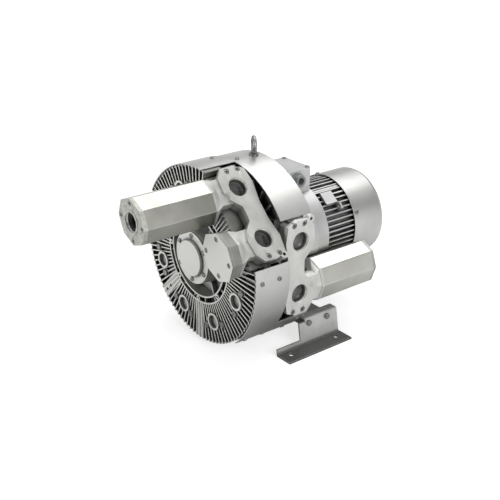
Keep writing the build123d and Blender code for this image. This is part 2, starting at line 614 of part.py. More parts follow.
def port_casting(side):
    lobes = (1, -1) if side == "front" else (1,)
    back = PAD_PLANE + GASKET
    plate = extrude(port_face(0, PORT_PLANE - FLANGE_THICK), amount=FLANGE_THICK)
    body = extrude(port_face(4, back), amount=PORT_PLANE - FLANGE_THICK - back)
    extras = [body]
    tools = []
    for lobe in (1, -1):
        t = lobe * PORT_HALF_PITCH
        tools.append(block(back + 5, PORT_PLANE - PORT_BORE_LENGTH, -32, 34, t - 30, t + 30))
        tools.append(spoke(PORT_R, back + 10, PORT_PLANE + 1, 0, t))
        tools.append(Pos(PORT_PLANE - PORT_CHAMFER / 2, 0, t) * Rot(0, 90, 0)
                     * Cone(PORT_R, PORT_R + PORT_CHAMFER, PORT_CHAMFER))
        tools.append(block(back - 1, back + 6, DUCT_OFFSET - DUCT_WIDTH / 2, DUCT_OFFSET + DUCT_WIDTH / 2,
                           t - DUCT_LENGTH / 2, t + DUCT_LENGTH / 2))
        if lobe in lobes:
            extras += neck(t, 0, 0)
            tools += neck(t, 4.5, FLANGE_INSET)
    ear = -1 if side == "rear" else 1
    extras.append(spoke(9.5, PORT_PLANE - 9, PORT_PLANE, ear * EAR_S, -EAR_T))
    tools.append(spoke(M8_R, PORT_PLANE - 10, PORT_PLANE + 1, ear * EAR_S, -EAR_T))
    for lobe in lobes:
        for n, t in tie_points(lobe):
            tools.append(rod(M6_R, TUBE_START - STAGE_1 - 1, TUBE_START - STAGE_1 + 9, x=n, z=t))
    for t, s in PORT_BOLTS:
        tools.append(spoke(M8_CLEAR_R, back - 1, PORT_PLANE + 1, s, t))
        tools.append(spoke(M8_HEAD_R + 0.5, PORT_PLANE - 8, PORT_PLANE + 1, s, t))
    return place_port(solid_of(carve(join(plate, extras), tools)), side)


def tie_points(lobe):
    """Screw centres near the four slanted corners of the octagon."""
    return corner_points(TUBE_N, lobe * PORT_HALF_PITCH, TUBE_A - TIE_INSET, TUBE_B - TIE_INSET)


def place_port(body, side):
    if side == "front":
        return at_angle(PORT_ANGLES[side], Pos(0, STAGE_1, 0) * body)
    return at_angle(PORT_ANGLES[side], Pos(0, STAGE_2, 0) * Rot(180, 0, 0) * body)


def tie_rods(radius, start, end, lobe=1):
    return [rod(radius, start, end, x=n, z=t) for n, t in tie_points(lobe)]


def silencer_tube(side):
    end = TUBE_START - STAGE_1
    far = end - TUBE_LENGTHS[side]
    outer = eased(octagon_bar(TUBE_N, PORT_HALF_PITCH, TUBE_A, TUBE_B, far, end))
    inner = octagon_bar(TUBE_N, PORT_HALF_PITCH, TUBE_A - TUBE_WALL, TUBE_B - TUBE_WALL,
                        far - 1, end + 1)
    return place_port(solid_of(outer - inner), side)


def silencer_end_cap(side):
    start = TUBE_START - STAGE_1 - TUBE_LENGTHS[side]
    plate = eased(octagon_bar(TUBE_N, PORT_HALF_PITCH, TUBE_A, TUBE_B, start - CAP_THICK, start))
    plug = octagon_bar(TUBE_N, PORT_HALF_PITCH, TUBE_A - TUBE_WALL - 0.2, TUBE_B - TUBE_WALL - 0.2, start,
                       start + 4)
    rim = rod(PORT_R + 5, start - CAP_THICK - 2, start, x=TUBE_N, z=PORT_HALF_PITCH)
    tools = [rod(PORT_R, start - 20, start + 20, x=TUBE_N, z=PORT_HALF_PITCH)]
    tools += tie_rods(M6_R + 0.4, start - 20, start + 20)
    tools += tie_rods(M6_HEAD_R + 0.5, start - CAP_THICK - 5, start - CAP_THICK + M6_HEAD)
    return place_port(solid_of(carve(join(plate, [plug, rim]), tools)), side)


LINING_BORE_R = 27.0


def silencer_lining(side):
    end = TUBE_START - STAGE_1
    far = end - TUBE_LENGTHS[side]
    foam = octagon_bar(TUBE_N, PORT_HALF_PITCH, TUBE_A - TUBE_WALL - 0.5, TUBE_B - TUBE_WALL - 0.5, far + 4,
                       end)
    tools = [rod(LINING_BORE_R, far, end + 1, x=TUBE_N, z=PORT_HALF_PITCH)]
    tools += tie_rods(M6_R, far, end + 1)
    return place_port(solid_of(carve(foam, tools)), side)


def silencer_tie_rods():
    end = TUBE_START - STAGE_1
    rods = []
    for side in ("front", "rear"):
        cap = end - TUBE_LENGTHS[side] - CAP_THICK
        for n, t in tie_points(1):
            shank = rod(M6_R, cap + M6_HEAD, end + 8, x=n, z=t)
            head = rod(M6_HEAD_R, cap, cap + M6_HEAD, x=n, z=t)
            rods.append(place_port(solid_of(shank + head), side))
    return Compound(children=rods)


BLANK_LIP = 8.0


def blanking_cover():
    end = TUBE_START - STAGE_1
    t = -PORT_HALF_PITCH
    body = eased(octagon_bar(TUBE_N, t, TUBE_A, TUBE_B, end - BLANK_DEPTH + BLANK_LIP, end))
    lip = eased(octagon_bar(TUBE_N, t, TUBE_A + 3, TUBE_B + 3, end - BLANK_DEPTH, end - BLANK_DEPTH + BLANK_LIP))
    tools = [rod(24, end - BLANK_DEPTH + BLANK_LIP, end + 1, x=TUBE_N, z=t)]
    tools += tie_rods(M6_R + 0.4, end - BLANK_DEPTH - 1, end + 1, -1)
    tools += tie_rods(M6_HEAD_R + 0.5, end - BLANK_DEPTH - 1, end - BLANK_DEPTH + M6_HEAD, -1)
    return place_port(solid_of(carve(body + lip, tools)), "front")


def port_gaskets():
    sheets = []
    for side in ("front", "rear"):
        sheet = extrude(port_face(4, PAD_PLANE), amount=GASKET)
        tools = [spoke(M8_CLEAR_R, PAD_PLANE - 1, PAD_PLANE + 3, s, t) for t, s in PORT_BOLTS]
        for t in (PORT_HALF_PITCH, -PORT_HALF_PITCH):
            tools.append(block(PAD_PLANE - 1, PAD_PLANE + 3, DUCT_OFFSET - DUCT_WIDTH / 2,
                               DUCT_OFFSET + DUCT_WIDTH / 2, t - DUCT_LENGTH / 2, t + DUCT_LENGTH / 2))
        sheets.append(place_port(solid_of(carve(sheet, tools)), side))
    return Compound(children=sheets)


# ------------------------------------------------------------------ sheet-metal guards
def arc_sheet(arc, span, outer, holes):
    inner = outer - SHEET
    face = make_face(Polyline((inner, span[0]), (outer, span[0]), (outer, span[1]), (inner, span[1]), close=True))
    sheet = at_angle(arc[1], revolve(face, axis=Axis.Y, revolution_arc=arc[1] - arc[0]))
    return solid_of(carve(sheet, shroud_post_holes(holes, M6_R + 0.4, 8, outer)))


def shroud(arc, span):
    every = SHROUD_POSTS_COVER + SHROUD_POSTS_MIDDLE + SHROUD_POSTS_REAR
    holes = [(a, s) for a, s in every if arc[0] <= a <= arc[1] and span[0] <= s <= span[1]]
    return arc_sheet(arc, span, SHROUD_R, holes)


def rear_top_shroud():
    sheet = arc_sheet(REAR_TOP_ARC, REAR_SHROUD_S, SHROUD_R, SHROUD_POSTS_CREST)
    eye = at_angle(EYE_ANGLE, spoke(EYE_THREAD_R + 0.5, SHROUD_R - 8, SHROUD_R + 1, EYE_S))
    return solid_of(crest([sheet - eye])[0])


def shroud_screw_rods(radius, inner, outer):
    """Screws between two distances from the outside of the sheet that they hold."""
    around_shaft = SHROUD_POSTS_COVER + SHROUD_POSTS_MIDDLE + SHROUD_POSTS_REAR
    rods = [at_angle(a, spoke(radius, SHROUD_R + inner, SHROUD_R + outer, s)) for a, s in around_shaft]
    rods += [at_angle(a, spoke(radius, TOP_SHROUD_R + inner, TOP_SHROUD_R + outer, s))
             for a, s in SHROUD_POSTS_TOP]
    return rods + crest([at_angle(a, spoke(radius, SHROUD_R + inner, SHROUD_R + outer, s))
                         for a, s in SHROUD_POSTS_CREST])


def shroud_screws():
    return bolts(shroud_screw_rods(M6_R, -15, 0), shroud_screw_rods(M6_HEAD_R, 0, 3))


def lifting_eye_bolt():
    """M10 eye bolt: shank, collar and ring in a plane turned to its tightened position."""
    base = SHROUD_R
    rise = base + EYE_RING_R + EYE_SECTION_R + 3
    ring = Pos(rise, 0, 0) * Rot(90, 0, 0) * Torus(EYE_RING_R, EYE_SECTION_R)
    body = solid_of(spoke(EYE_THREAD_R, base - 20, base + 2, 0) + spoke(11.5, base, base + 5, 0)
                    + spoke(7, base + 4, base + 9, 0) + ring)
    return crest([at_angle(EYE_ANGLE, Pos(0, EYE_S, 0) * Rot(EYE_TURN, 0, 0) * body)])[0]


# ------------------------------------------------------------------ motor
def drive_end_shield():
    s = DRIVE_S
    seat = LARGE_BEARING[1]
    body = turned([(SPIGOT_R, NECK_END - 6), (SPIGOT_R, NECK_END), (NECK_R, NECK_END), (NECK_R + 1, SHIELD_END),
                   (SHIELD_BORE_R, SHIELD_END), (SHIELD_BORE_R, s + 2), (66, s - 2), (62, s + 4),
                   (62, s + 26.5), (seat, s + 26.5), (seat, s), (seat - 4, s), (seat - 4, s - 5), (60, s - 6),
                   (SPIGOT_R - 6, NECK_END + 2), (SPIGOT_R - 6, NECK_END - 6)])
    return solid_of(carve(body, around(6, rod(M8_CLEAR_R, NECK_END - 1, NECK_END + 25, x=SHIELD_BOLT_R), 30)
                          + around(6, rod(M8_HEAD_R + 1, SHIELD_HEAD_S, SHIELD_END + 1, x=SHIELD_BOLT_R), 30)))


SHIELD_HEAD_S = 234.0
FRAME_SPIGOT_R = 94.0
FAN_COVER_SCREW_S = 421.0
EARTH_ANGLE = 36.0
EARTH_S = 371.0
PAD_ANGLE = 50.0
PAD_S = 352.0
PAD_SIDE = 18.0
BOX_IN = 127.0
BOX_OUT = 167.0
BOX_LID = 5.0
BOX_S = (228.0, 313.0)
BOX_HALF = 52.0
BOX_SHEET = 3.5
BOX_SEAT_S = (SHIELD_END + 3, BAND_END - 5)
BOX_LEADS_S = sum(BOX_SEAT_S) / 2
BOX_SCREW_S = 6.0
BOX_SCREW_T = 30.0


def stator_frame():
    body = turned([(SHIELD_BORE_R, SHIELD_END - 3), (SHIELD_BORE_R, SHIELD_END), (BAND_R, SHIELD_END),
                   (BAND_R, BAND_END), (FRAME_R, BAND_END), (FRAME_R, FRAME_END), (FRAME_SPIGOT_R, FRAME_END),
                   (FRAME_SPIGOT_R, FRAME_END - 5), (CORE_R, FRAME_END - 5), (CORE_R, BAND_END - 2),
                   (BAND_R - 14, BAND_END - 8), (BAND_R - 14, SHIELD_END - 3)])
    fin = block(FRAME_R - 1, FIN_R, BAND_END - 1, FRAME_END - 1, -1.6, 1.6)
    seat = at_angle(BOX_ANGLE, block(BAND_R - 12, BOX_IN, BOX_SEAT_S[0], BOX_SEAT_S[1], 6 - BOX_HALF,
                                     BOX_HALF - 6))
    pad = at_angle(PAD_ANGLE, block(FRAME_R - 2, FIN_R + 6, PAD_S - PAD_SIDE, PAD_S + PAD_SIDE,
                                    1 - PAD_SIDE, PAD_SIDE - 1))
    lug = at_angle(EARTH_ANGLE, block(FRAME_R - 1, FIN_R + 14, EARTH_S - 3, EARTH_S + 3, -9, 9))
    boss = spoke(7, FRAME_R - 1, FAN_COVER_R - FAN_COVER_SHEET - 0.3, FAN_COVER_SCREW_S)
    lugs = around(4, rod(7, BAND_END - 1, FRAME_END, x=END_SCREW_R), END_SCREW_FIRST)
    body = join(body, around(FRAME_FINS, fin) + [seat, pad, lug] + around(4, boss, 22.5) + lugs)
    tools = [at_angle(BOX_ANGLE, spoke(10, BAND_R - 18, BOX_IN + 2, BOX_LEADS_S))]
    tools += around(4, spoke(M6_R, FAN_COVER_R - 14, FAN_COVER_R, FAN_COVER_SCREW_S), 22.5)
    tools += around(4, rod(M6_R, FRAME_END - 14, FRAME_END + 1, x=END_SCREW_R), END_SCREW_FIRST)
    tools.append(at_angle(EARTH_ANGLE, rod(4, EARTH_S - 4, EARTH_S + 4, x=FIN_R + 6)))
    tools += terminal_screw_rods(M6_R, BOX_IN - 12, BOX_IN + 1)
    return solid_of(carve(body, tools))


END_SCREW_R = 104.0
END_SCREW_FIRST = 66.0


def stator_core():
    slot = block(STATOR_BORE_R - 2, 78, CORE_START - 1, CORE_END + 1, -3.4, 3.4)
    return solid_of(carve(tube(STATOR_BORE_R, CORE_R, CORE_START, CORE_END), around(SLOTS, slot)))


def stator_windings():
    ends = [tube(64, 84, CORE_START - 13, CORE_START - 0.2), tube(64, 84, CORE_END + 0.2, CORE_END + 13)]
    bar = block(STATOR_BORE_R + 4, 77.5, CORE_START - 12, CORE_END + 12, -3, 3)
    return solid_of(join(ends[0], ends[1:] + around(SLOTS, bar)))


def non_drive_end_shield():
    s = FRAME_END
    body = turned([(FRAME_SPIGOT_R, s - 3.5), (FRAME_SPIGOT_R, s), (FIN_R - 1, s), (FIN_R - 1, s + 7),
                   (56, s + 14), (54, s + 21), (SMALL_BEARING[1], s + 21), (SMALL_BEARING[1], REAR_S),
                   (SMALL_BEARING[1] - 3, REAR_S), (SMALL_BEARING[1] - 3, s - 3), (52, s - 3), (56, s + 5),
                   (FRAME_SPIGOT_R - 6, s + 1), (FRAME_SPIGOT_R - 6, s - 3.5)])
    return solid_of(carve(body, around(4, rod(M6_R + 0.4, s - 1, s + 20, x=END_SCREW_R), END_SCREW_FIRST)
                          + around(4, rod(M6_HEAD_R + 0.6, s + 7, s + 20, x=END_SCREW_R), END_SCREW_FIRST)))


def fan_cover():
    r, t, end = FAN_COVER_R, FAN_COVER_SHEET, FAN_COVER_END
    body = turned([(r - t, FAN_COVER_START), (r, FAN_COVER_START), (r, end - 13), (r - 2, end - 6),
                   (r - 6, end - 2), (r - 12, end), (0, end), (0, end - t), (r - 13, end - t),
                   (r - 7.5, end - 3.5), (r - 4, end - 7), (r - t, end - 13.5)])
    slot = block(42, 98, end - 6, end + 2, -3.2, 3.2)
    tools = around(20, slot) + around(4, spoke(M6_R + 0.4, r - 6, r + 1, FAN_COVER_SCREW_S), 22.5)
    return solid_of(carve(body, tools))


def terminal_screw_rods(radius, inner, outer):
    return [at_angle(BOX_ANGLE, spoke(radius, inner, outer, BOX_LEADS_S + i * BOX_SCREW_S, j * BOX_SCREW_T))
            for i in (-1, 1) for j in (-1, 1)]


def lid_screw_rods(radius, inner, outer):
    mid, half = sum(BOX_S) / 2, (BOX_S[1] - BOX_S[0]) / 2
    return [at_angle(BOX_ANGLE, spoke(radius, inner, outer, mid + i * (half - 8), j * (BOX_HALF - 8)))
            for i in (-1, 1) for j in (-1, 1)]


GLAND_R = 12.5
GLAND_N = 148.5
GLAND_S = 266.0
GLAND_HEX_R = 18.5
GLAND_CABLE_R = 9.0


def gland_rod(radius, low, high):
    """Rod through the box's right wall, measured outwards from the box's middle."""
    return at_angle(BOX_ANGLE, Pos(GLAND_N, GLAND_S, -(low + high) / 2) * Cylinder(radius, high - low))


def terminal_box():
    shell = block(BOX_IN, BOX_OUT, BOX_S[0], BOX_S[1], -BOX_HALF, BOX_HALF)
    shell = fillet(shell.edges().filter_by(Axis.X), 8)
    hollow = block(BOX_IN + BOX_SHEET, BOX_OUT + 1, BOX_S[0] + BOX_SHEET, BOX_S[1] - BOX_SHEET,
                   -BOX_HALF + BOX_SHEET, BOX_HALF - BOX_SHEET)
    body = at_angle(BOX_ANGLE, shell - hollow)
    body = join(body, lid_screw_rods(6, BOX_IN + 1, BOX_OUT))
    tools = lid_screw_rods(M6_R, BOX_OUT - 12, BOX_OUT + 1)
    tools += terminal_screw_rods(M6_R + 0.4, BOX_IN - 1, BOX_IN + 5)
    tools += [at_angle(BOX_ANGLE, spoke(10, BOX_IN - 1, BOX_IN + 5, BOX_LEADS_S)),
              gland_rod(GLAND_R, BOX_HALF - 6, BOX_HALF + 1)]
    return solid_of(carve(body, tools))


def terminal_box_lid():
    lid = block(BOX_OUT, BOX_OUT + BOX_LID, BOX_S[0], BOX_S[1], -BOX_HALF, BOX_HALF)
    lid = at_angle(BOX_ANGLE, fillet(lid.edges().filter_by(Axis.X), 8))
    return solid_of(carve(lid, lid_screw_rods(M6_R + 0.4, BOX_OUT - 1, BOX_OUT + BOX_LID + 1)))


def cable_gland():
    hexagon = at_angle(BOX_ANGLE, Pos(GLAND_N, GLAND_S, -BOX_HALF - 6) * extrude(RegularPolygon(GLAND_HEX_R, 6), amount=6))
    body = join(hexagon, [gland_rod(GLAND_R, BOX_HALF - 7, BOX_HALF + 1),
                          gland_rod(14.5, BOX_HALF + 5, BOX_HALF + 16)])
    return solid_of(body - gland_rod(GLAND_CABLE_R, BOX_HALF - 8, BOX_HALF + 17))


# ------------------------------------------------------------------ feet
def web_face(z):
    """X of the outer face of the leaning web at a height in the shaft's frame."""
    return FOOT_X_IN + FOOT_SHEET - FOOT_LEAN * (z + SHAFT_HEIGHT) / FOOT_TOP


def foot_bolt_rods(radius, inner, outer):
    """Rods square to the leaning webs, measured outwards from the outer face."""
    tilt = math.degrees(math.atan(FOOT_LEAN / FOOT_TOP))
    rods = []
    for s in FOOT_BOLTS:
        along = Pos((inner + outer) / 2, 0, 0) * Rot(0, 90, 0) * Cylinder(radius, outer - inner)
        right = Pos(web_face(FOOT_BOLT_Z), s, FOOT_BOLT_Z) * Rot(0, -tilt, 0) * along
        rods += [right, mirror(right, Plane.YZ)]
    return rods


def profile_bar(outline, start, end):
    """Bar along the shaft direction from an outline of (x, z) points."""
    ring = [Vector(x, start, z) for x, z in outline]
    return extrude(make_face(Polyline(*ring, close=True)), amount=end - start, dir=(0, 1, 0))


def foot_beam():
    """Cast cross beam whose ends follow the leaning webs."""
    low = SHELF_Z - BEAM_DEPTH
    top_x, low_x = web_face(SHELF_Z) - FOOT_SHEET, web_face(low) - FOOT_SHEET
    outline = [(-low_x, low), (low_x, low), (top_x, SHELF_Z - 2), (top_x - 2, SHELF_Z), (2 - top_x, SHELF_Z),
               (-top_x, SHELF_Z - 2)]
    return profile_bar(outline, FOOT_SHELF_FRONT + 2, SHIELD_END - 3)


def foot(side):
    """Folded bracket: foot flange, leaning web, short stiffening lip and a shelf over the cast beam."""
    low = -SHAFT_HEIGHT
    top = low + FOOT_TOP
    inner = web_face(top) - FOOT_SHELF
    bent = profile_bar([(inner, SHELF_Z), (inner, top), (web_face(top), top), (web_face(low), low),
                        (web_face(low) - FOOT_SHEET, low), (web_face(SHELF_Z) - FOOT_SHEET, SHELF_Z)],
                       FOOT_SHELF_FRONT, FOOT_WEB_REAR)
    crest_edge = bent.edges().filter_by(Axis.Y).sort_by(lambda e: e.center().X + e.center().Z)[-1]
    bent = fillet(crest_edge, FOOT_BEND)
    front_top = top - 8
    front_web = profile_bar([(web_face(front_top), front_top), (web_face(low), low),
                             (web_face(low) - FOOT_SHEET, low), (web_face(front_top) - FOOT_SHEET, front_top)],
                            FOOT_WEB_FRONT, FOOT_SHELF_FRONT + 1)
    flange = block(FOOT_X_IN, FOOT_X_OUT, FOOT_FRONT, FOOT_REAR, low, low + FOOT_SHEET)
    lip_top = low + FOOT_LIP
    lip = profile_bar([(web_face(lip_top), lip_top), (web_face(low), low), (web_face(low) - FOOT_SHEET, low),
                       (web_face(lip_top) - FOOT_SHEET, lip_top)], FOOT_FRONT, FOOT_WEB_FRONT + 1)
    body = join(bent, [front_web, flange, lip])
    middle = (FOOT_FRONT + FOOT_REAR) / 2
    holes = [upright(HOLE_R, low - 1, low + FOOT_SHEET + 1, HOLE_X, middle + i * HOLE_PITCH_Y / 2)
             for i in (-1, 1)]
    body = solid_of(carve(body, holes + foot_bolt_rods(M8_CLEAR_R, -FOOT_SHEET - 1, 1)))
    return body if side == "right" else mirror(body, Plane.YZ)


# ------------------------------------------------------------------ fasteners
def bolts(rods_shank, rods_head):
    return Compound(children=[solid_of(a + b) for a, b in zip(rods_shank, rods_head)])


def housing_bolts():
    """M10 bolts of both housing joints, all of one length."""
    length = BACK_S - STAGE_2 + 20
    front, rear = PORT_ANGLES["front"], PORT_ANGLES["rear"]
    return bolts(joint_holes(front, M10_R, BOLT_PAD_S, BOLT_PAD_S + length)
                 + joint_holes(rear, M10_R, BACK_S - length, BACK_S),
                 joint_holes(front, M10_HEAD_R, BOLT_PAD_S - 6, BOLT_PAD_S)
                 + joint_holes(rear, M10_HEAD_R, BACK_S, BACK_S + 6))


def port_casting_bolts():
    seat = PORT_PLANE - 8
    sets = [(port_bolt_rods(side, M8_R, PAD_PLANE - 16, seat), port_bolt_rods(side, M8_HEAD_R, seat, seat + 7))
            for side in ("front", "rear")]
    return bolts(sets[0][0] + sets[1][0], sets[0][1] + sets[1][1])


def shield_bolts():
    return bolts(around(6, rod(M8_R, NECK_END - 14, SHIELD_HEAD_S, x=SHIELD_BOLT_R), 30),
                 around(6, rod(M8_HEAD_R, SHIELD_HEAD_S, SHIELD_HEAD_S + 6, x=SHIELD_BOLT_R), 30))


def foot_bolts():
    return bolts(foot_bolt_rods(M8_R, -FOOT_SHEET - 16, 0), foot_bolt_rods(FOOT_BOLT_HEAD_R, 0, 5.5))


def cover_screws():
    """The M6 screws of the bearing cap, blanking cover, fan cover, end shield and terminal box."""
    end = TUBE_START - BLANK_DEPTH
    cap = HUB_FACE - 6
    lid = BOX_OUT + BOX_LID
    back = FRAME_END + 7
    lower = rod(M6_R, cap, cap + 20, x=CAP_SCREW_R)
    shanks = around(6, lower, 30)
    heads = around(6, rod(M6_HEAD_R, cap - 4, cap, x=CAP_SCREW_R), 30)
    local = end - STAGE_1
    shanks += [place_port(r, "front") for r in tie_rods(M6_R, local + M6_HEAD, TUBE_START - STAGE_1 + 8, -1)]
    heads += [place_port(r, "front") for r in tie_rods(M6_HEAD_R, local, local + M6_HEAD, -1)]
    shanks += around(4, spoke(M6_R, FAN_COVER_R - 13, FAN_COVER_R, FAN_COVER_SCREW_S), 22.5)
    heads += around(4, spoke(M6_HEAD_R, FAN_COVER_R, FAN_COVER_R + 3, FAN_COVER_SCREW_S), 22.5)
    shanks += around(4, rod(M6_R, FRAME_END - 13, back, x=END_SCREW_R), END_SCREW_FIRST)
    heads += around(4, rod(M6_HEAD_R, back, back + 4, x=END_SCREW_R), END_SCREW_FIRST)
    floor = BOX_IN + BOX_SHEET
    shanks += lid_screw_rods(M6_R, BOX_OUT - 11, lid) + terminal_screw_rods(M6_R, BOX_IN - 11, floor)
    heads += lid_screw_rods(M6_HEAD_R, lid, lid + 3) + terminal_screw_rods(M6_HEAD_R, floor, floor + 4)
    return bolts(shanks, heads)


# ------------------------------------------------------------------ assembly
def build():
    parts["front_cover"] = front_cover()
    parts["middle_housing"] = middle_housing()
    parts["rear_housing"] = rear_housing()
    parts["front_impeller"] = impeller(STAGE_1)
    parts["rear_impeller"] = impeller(STAGE_2)
    parts["impeller_keys"] = impeller_keys()
    parts["shaft"] = shaft()
    parts["front_distance_collar"] = front_distance_collar()
    parts["impeller_spacer"] = impeller_spacer()
    parts["shaft_lock_nut"] = shaft_lock_nut()
    bearings = (("outboard_bearing", SMALL_BEARING, OUTBOARD_S), ("drive_end_bearing", LARGE_BEARING, DRIVE_S),
                ("rear_bearing", SMALL_BEARING, REAR_S))
    for name, sizes, start in bearings:
        for piece, body in bearing_pieces(sizes, start).items():
            parts[name + "_" + piece] = body
    parts["shaft_seals"] = shaft_seals()
    parts["bearing_cap"] = bearing_cap()
    for side in ("front", "rear"):
        parts[side + "_port_casting"] = port_casting(side)
        parts[side + "_silencer_tube"] = silencer_tube(side)
        parts[side + "_silencer_end_cap"] = silencer_end_cap(side)
        parts[side + "_silencer_lining"] = silencer_lining(side)
    parts["port_gaskets"] = port_gaskets()
    parts["silencer_tie_rods"] = silencer_tie_rods()
    parts["blanking_cover"] = blanking_cover()
    parts["front_top_shroud"] = arc_sheet(FRONT_TOP_ARC, FRONT_SHROUD_S, TOP_SHROUD_R, SHROUD_POSTS_TOP)
    parts["front_side_shroud"] = shroud(FRONT_SIDE_ARC, FRONT_SHROUD_S)
    parts["rear_lower_shroud"] = shroud(REAR_LOWER_ARC, REAR_SHROUD_S)
    parts["rear_top_shroud"] = rear_top_shroud()
    parts["shroud_screws"] = shroud_screws()
    parts["lifting_eye_bolt"] = lifting_eye_bolt()
    parts["drive_end_shield"] = drive_end_shield()
    parts["stator_frame"] = stator_frame()
    parts["stator_core"] = stator_core()
    parts["stator_windings"] = stator_windings()
    parts["rotor_core"] = rotor_core()
    parts["rear_end_shield"] = non_drive_end_shield()
    parts["cooling_fan"] = cooling_fan()
    parts["fan_cover"] = fan_cover()
    parts["terminal_box"] = terminal_box()
    parts["terminal_box_lid"] = terminal_box_lid()
    parts["cable_gland"] = cable_gland()
    parts["right_foot"] = foot("right")
    parts["left_foot"] = foot("left")
    parts["housing_bolts"] = housing_bolts()
    parts["port_casting_bolts"] = port_casting_bolts()
    parts["shield_bolts"] = shield_bolts()
    parts["foot_bolts"] = foot_bolts()
    parts["cover_screws"] = cover_screws()


build()
os.makedirs("parts", exist_ok=True)
for name, body in parts.items():
    export_step(Pos(0, FRONT_Y, SHAFT_HEIGHT) * body, f"parts/{name}.step")
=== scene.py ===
import json
import math

import bmesh
import bpy
import numpy
from mathutils import Matrix, Vector


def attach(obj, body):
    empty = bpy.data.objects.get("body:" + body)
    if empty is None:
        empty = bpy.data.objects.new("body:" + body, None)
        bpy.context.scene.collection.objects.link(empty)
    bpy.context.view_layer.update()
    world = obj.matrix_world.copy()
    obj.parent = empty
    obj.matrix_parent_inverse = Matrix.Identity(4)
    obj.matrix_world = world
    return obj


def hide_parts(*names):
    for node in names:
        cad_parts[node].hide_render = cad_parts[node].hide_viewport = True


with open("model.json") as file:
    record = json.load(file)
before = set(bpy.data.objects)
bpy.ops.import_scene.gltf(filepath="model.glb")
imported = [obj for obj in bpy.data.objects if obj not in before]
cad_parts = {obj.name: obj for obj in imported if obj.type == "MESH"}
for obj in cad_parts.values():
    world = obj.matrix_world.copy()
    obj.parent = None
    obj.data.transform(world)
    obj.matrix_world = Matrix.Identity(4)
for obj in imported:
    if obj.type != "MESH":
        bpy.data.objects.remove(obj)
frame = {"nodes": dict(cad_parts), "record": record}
nodes = frame["nodes"]
mounts = {mount["name"]: mount for mount in frame["record"]["mounts"]}
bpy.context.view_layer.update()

MM = 0.001
SHAFT_HEIGHT = 231 * MM
MERGE = 1e-6  # points nearer than this are one point


# ------------------------------------------------------------------ node trees
def linear(code):
    """sRGB hex to the linear colour that the shaders take."""
    parts = [int(code[i:i + 2], 16) / 255 for i in (1, 3, 5)]
    return [c / 12.92 if c <= 0.04045 else ((c + 0.055) / 1.055) ** 2.4 for c in parts] + [1.0]


WHITE = linear("#FFFFFF")


def add(material, kind, **settings):
    """Adds one shader node. A setting that names an attribute sets it; any other fills or links a socket,
    by its name with _ for a space, or by its number after a leading _."""
    node = material.node_tree.nodes.new(kind)
    for name, value in settings.items():
        if hasattr(node, name):
            setattr(node, name, value)
            continue
        numbered = name[0] == "_" and name[1:].isdigit()
        socket = node.inputs[int(name[1:]) if numbered else name.replace("_", " ")]
        if isinstance(value, bpy.types.NodeSocket):
            material.node_tree.links.new(value, socket)
        else:
            socket.default_value = value
    return node


def blank(name):
    """New material with an empty node tree."""
    material = bpy.data.materials.new(name)
    material.use_nodes = True
    material.node_tree.nodes.clear()
    return material


def finish_material(material, shader):
    """Leads the shader to the material's output."""
    add(material, "ShaderNodeOutputMaterial", Surface=shader)
    return material


# ------------------------------------------------------------------ camera, light and floor
CAMERA_AZIMUTH, CAMERA_ELEVATION = math.radians(51.97), math.radians(23.64)
CAMERA_PLACE = Vector((1618.1, -1309.5, 1102.4)) * MM
CAMERA_LENS = 64.7

FLOOR_SIZE = 14.0
FLOOR_DROP = 0.4 * MM  # keeps the feet's undersides clear of the floor
FLOOR_GLOW = 0.72  # with the lamps' light on the paper this makes white
SHADE_REACH, SHADE_END = 0.2, 0.6  # painted shadow: metal sees the paper grey under the machine, white from here on
LAMP_REACH, LAMP_END = 0.8, 2.2  # between these the lamps fade and the glow takes over
WALL_GREY = 0.18
WALL_FOOT, WALL_LOW = 0.08, 0.3  # sines of the heights between which the bright horizon turns to grey wall
WALL_HIGH, CEILING = 0.48, 0.68  # and between which the wall turns to bright ceiling
WORLD_LIGHT = 0.15


def place_camera():
    """A long lens from the front right, above the shaft."""
    back = Vector((math.sin(CAMERA_AZIMUTH) * math.cos(CAMERA_ELEVATION),
                   -math.cos(CAMERA_AZIMUTH) * math.cos(CAMERA_ELEVATION), math.sin(CAMERA_ELEVATION)))
    camera = bpy.data.objects.new("camera", bpy.data.cameras.new("camera"))
    bpy.context.scene.collection.objects.link(camera)
    camera.data.lens = CAMERA_LENS
    camera.location = CAMERA_PLACE
    camera.rotation_mode = "QUATERNION"
    camera.rotation_quaternion = (-back).to_track_quat("-Z", "Y")
    bpy.context.scene.camera = camera


def soft_lamp(name, place, target, width, height, power):
    """Panel of light that faces its target."""
    lamp = bpy.data.lights.new(name, "AREA")
    lamp.shape = "RECTANGLE"
    lamp.size, lamp.size_y, lamp.energy = width, height, power
    holder = bpy.data.objects.new(name, lamp)
    bpy.context.scene.collection.objects.link(holder)
    holder.location = place
    holder.rotation_mode = "QUATERNION"
    holder.rotation_quaternion = (Vector(target) - Vector(place)).to_track_quat("-Z", "Y")


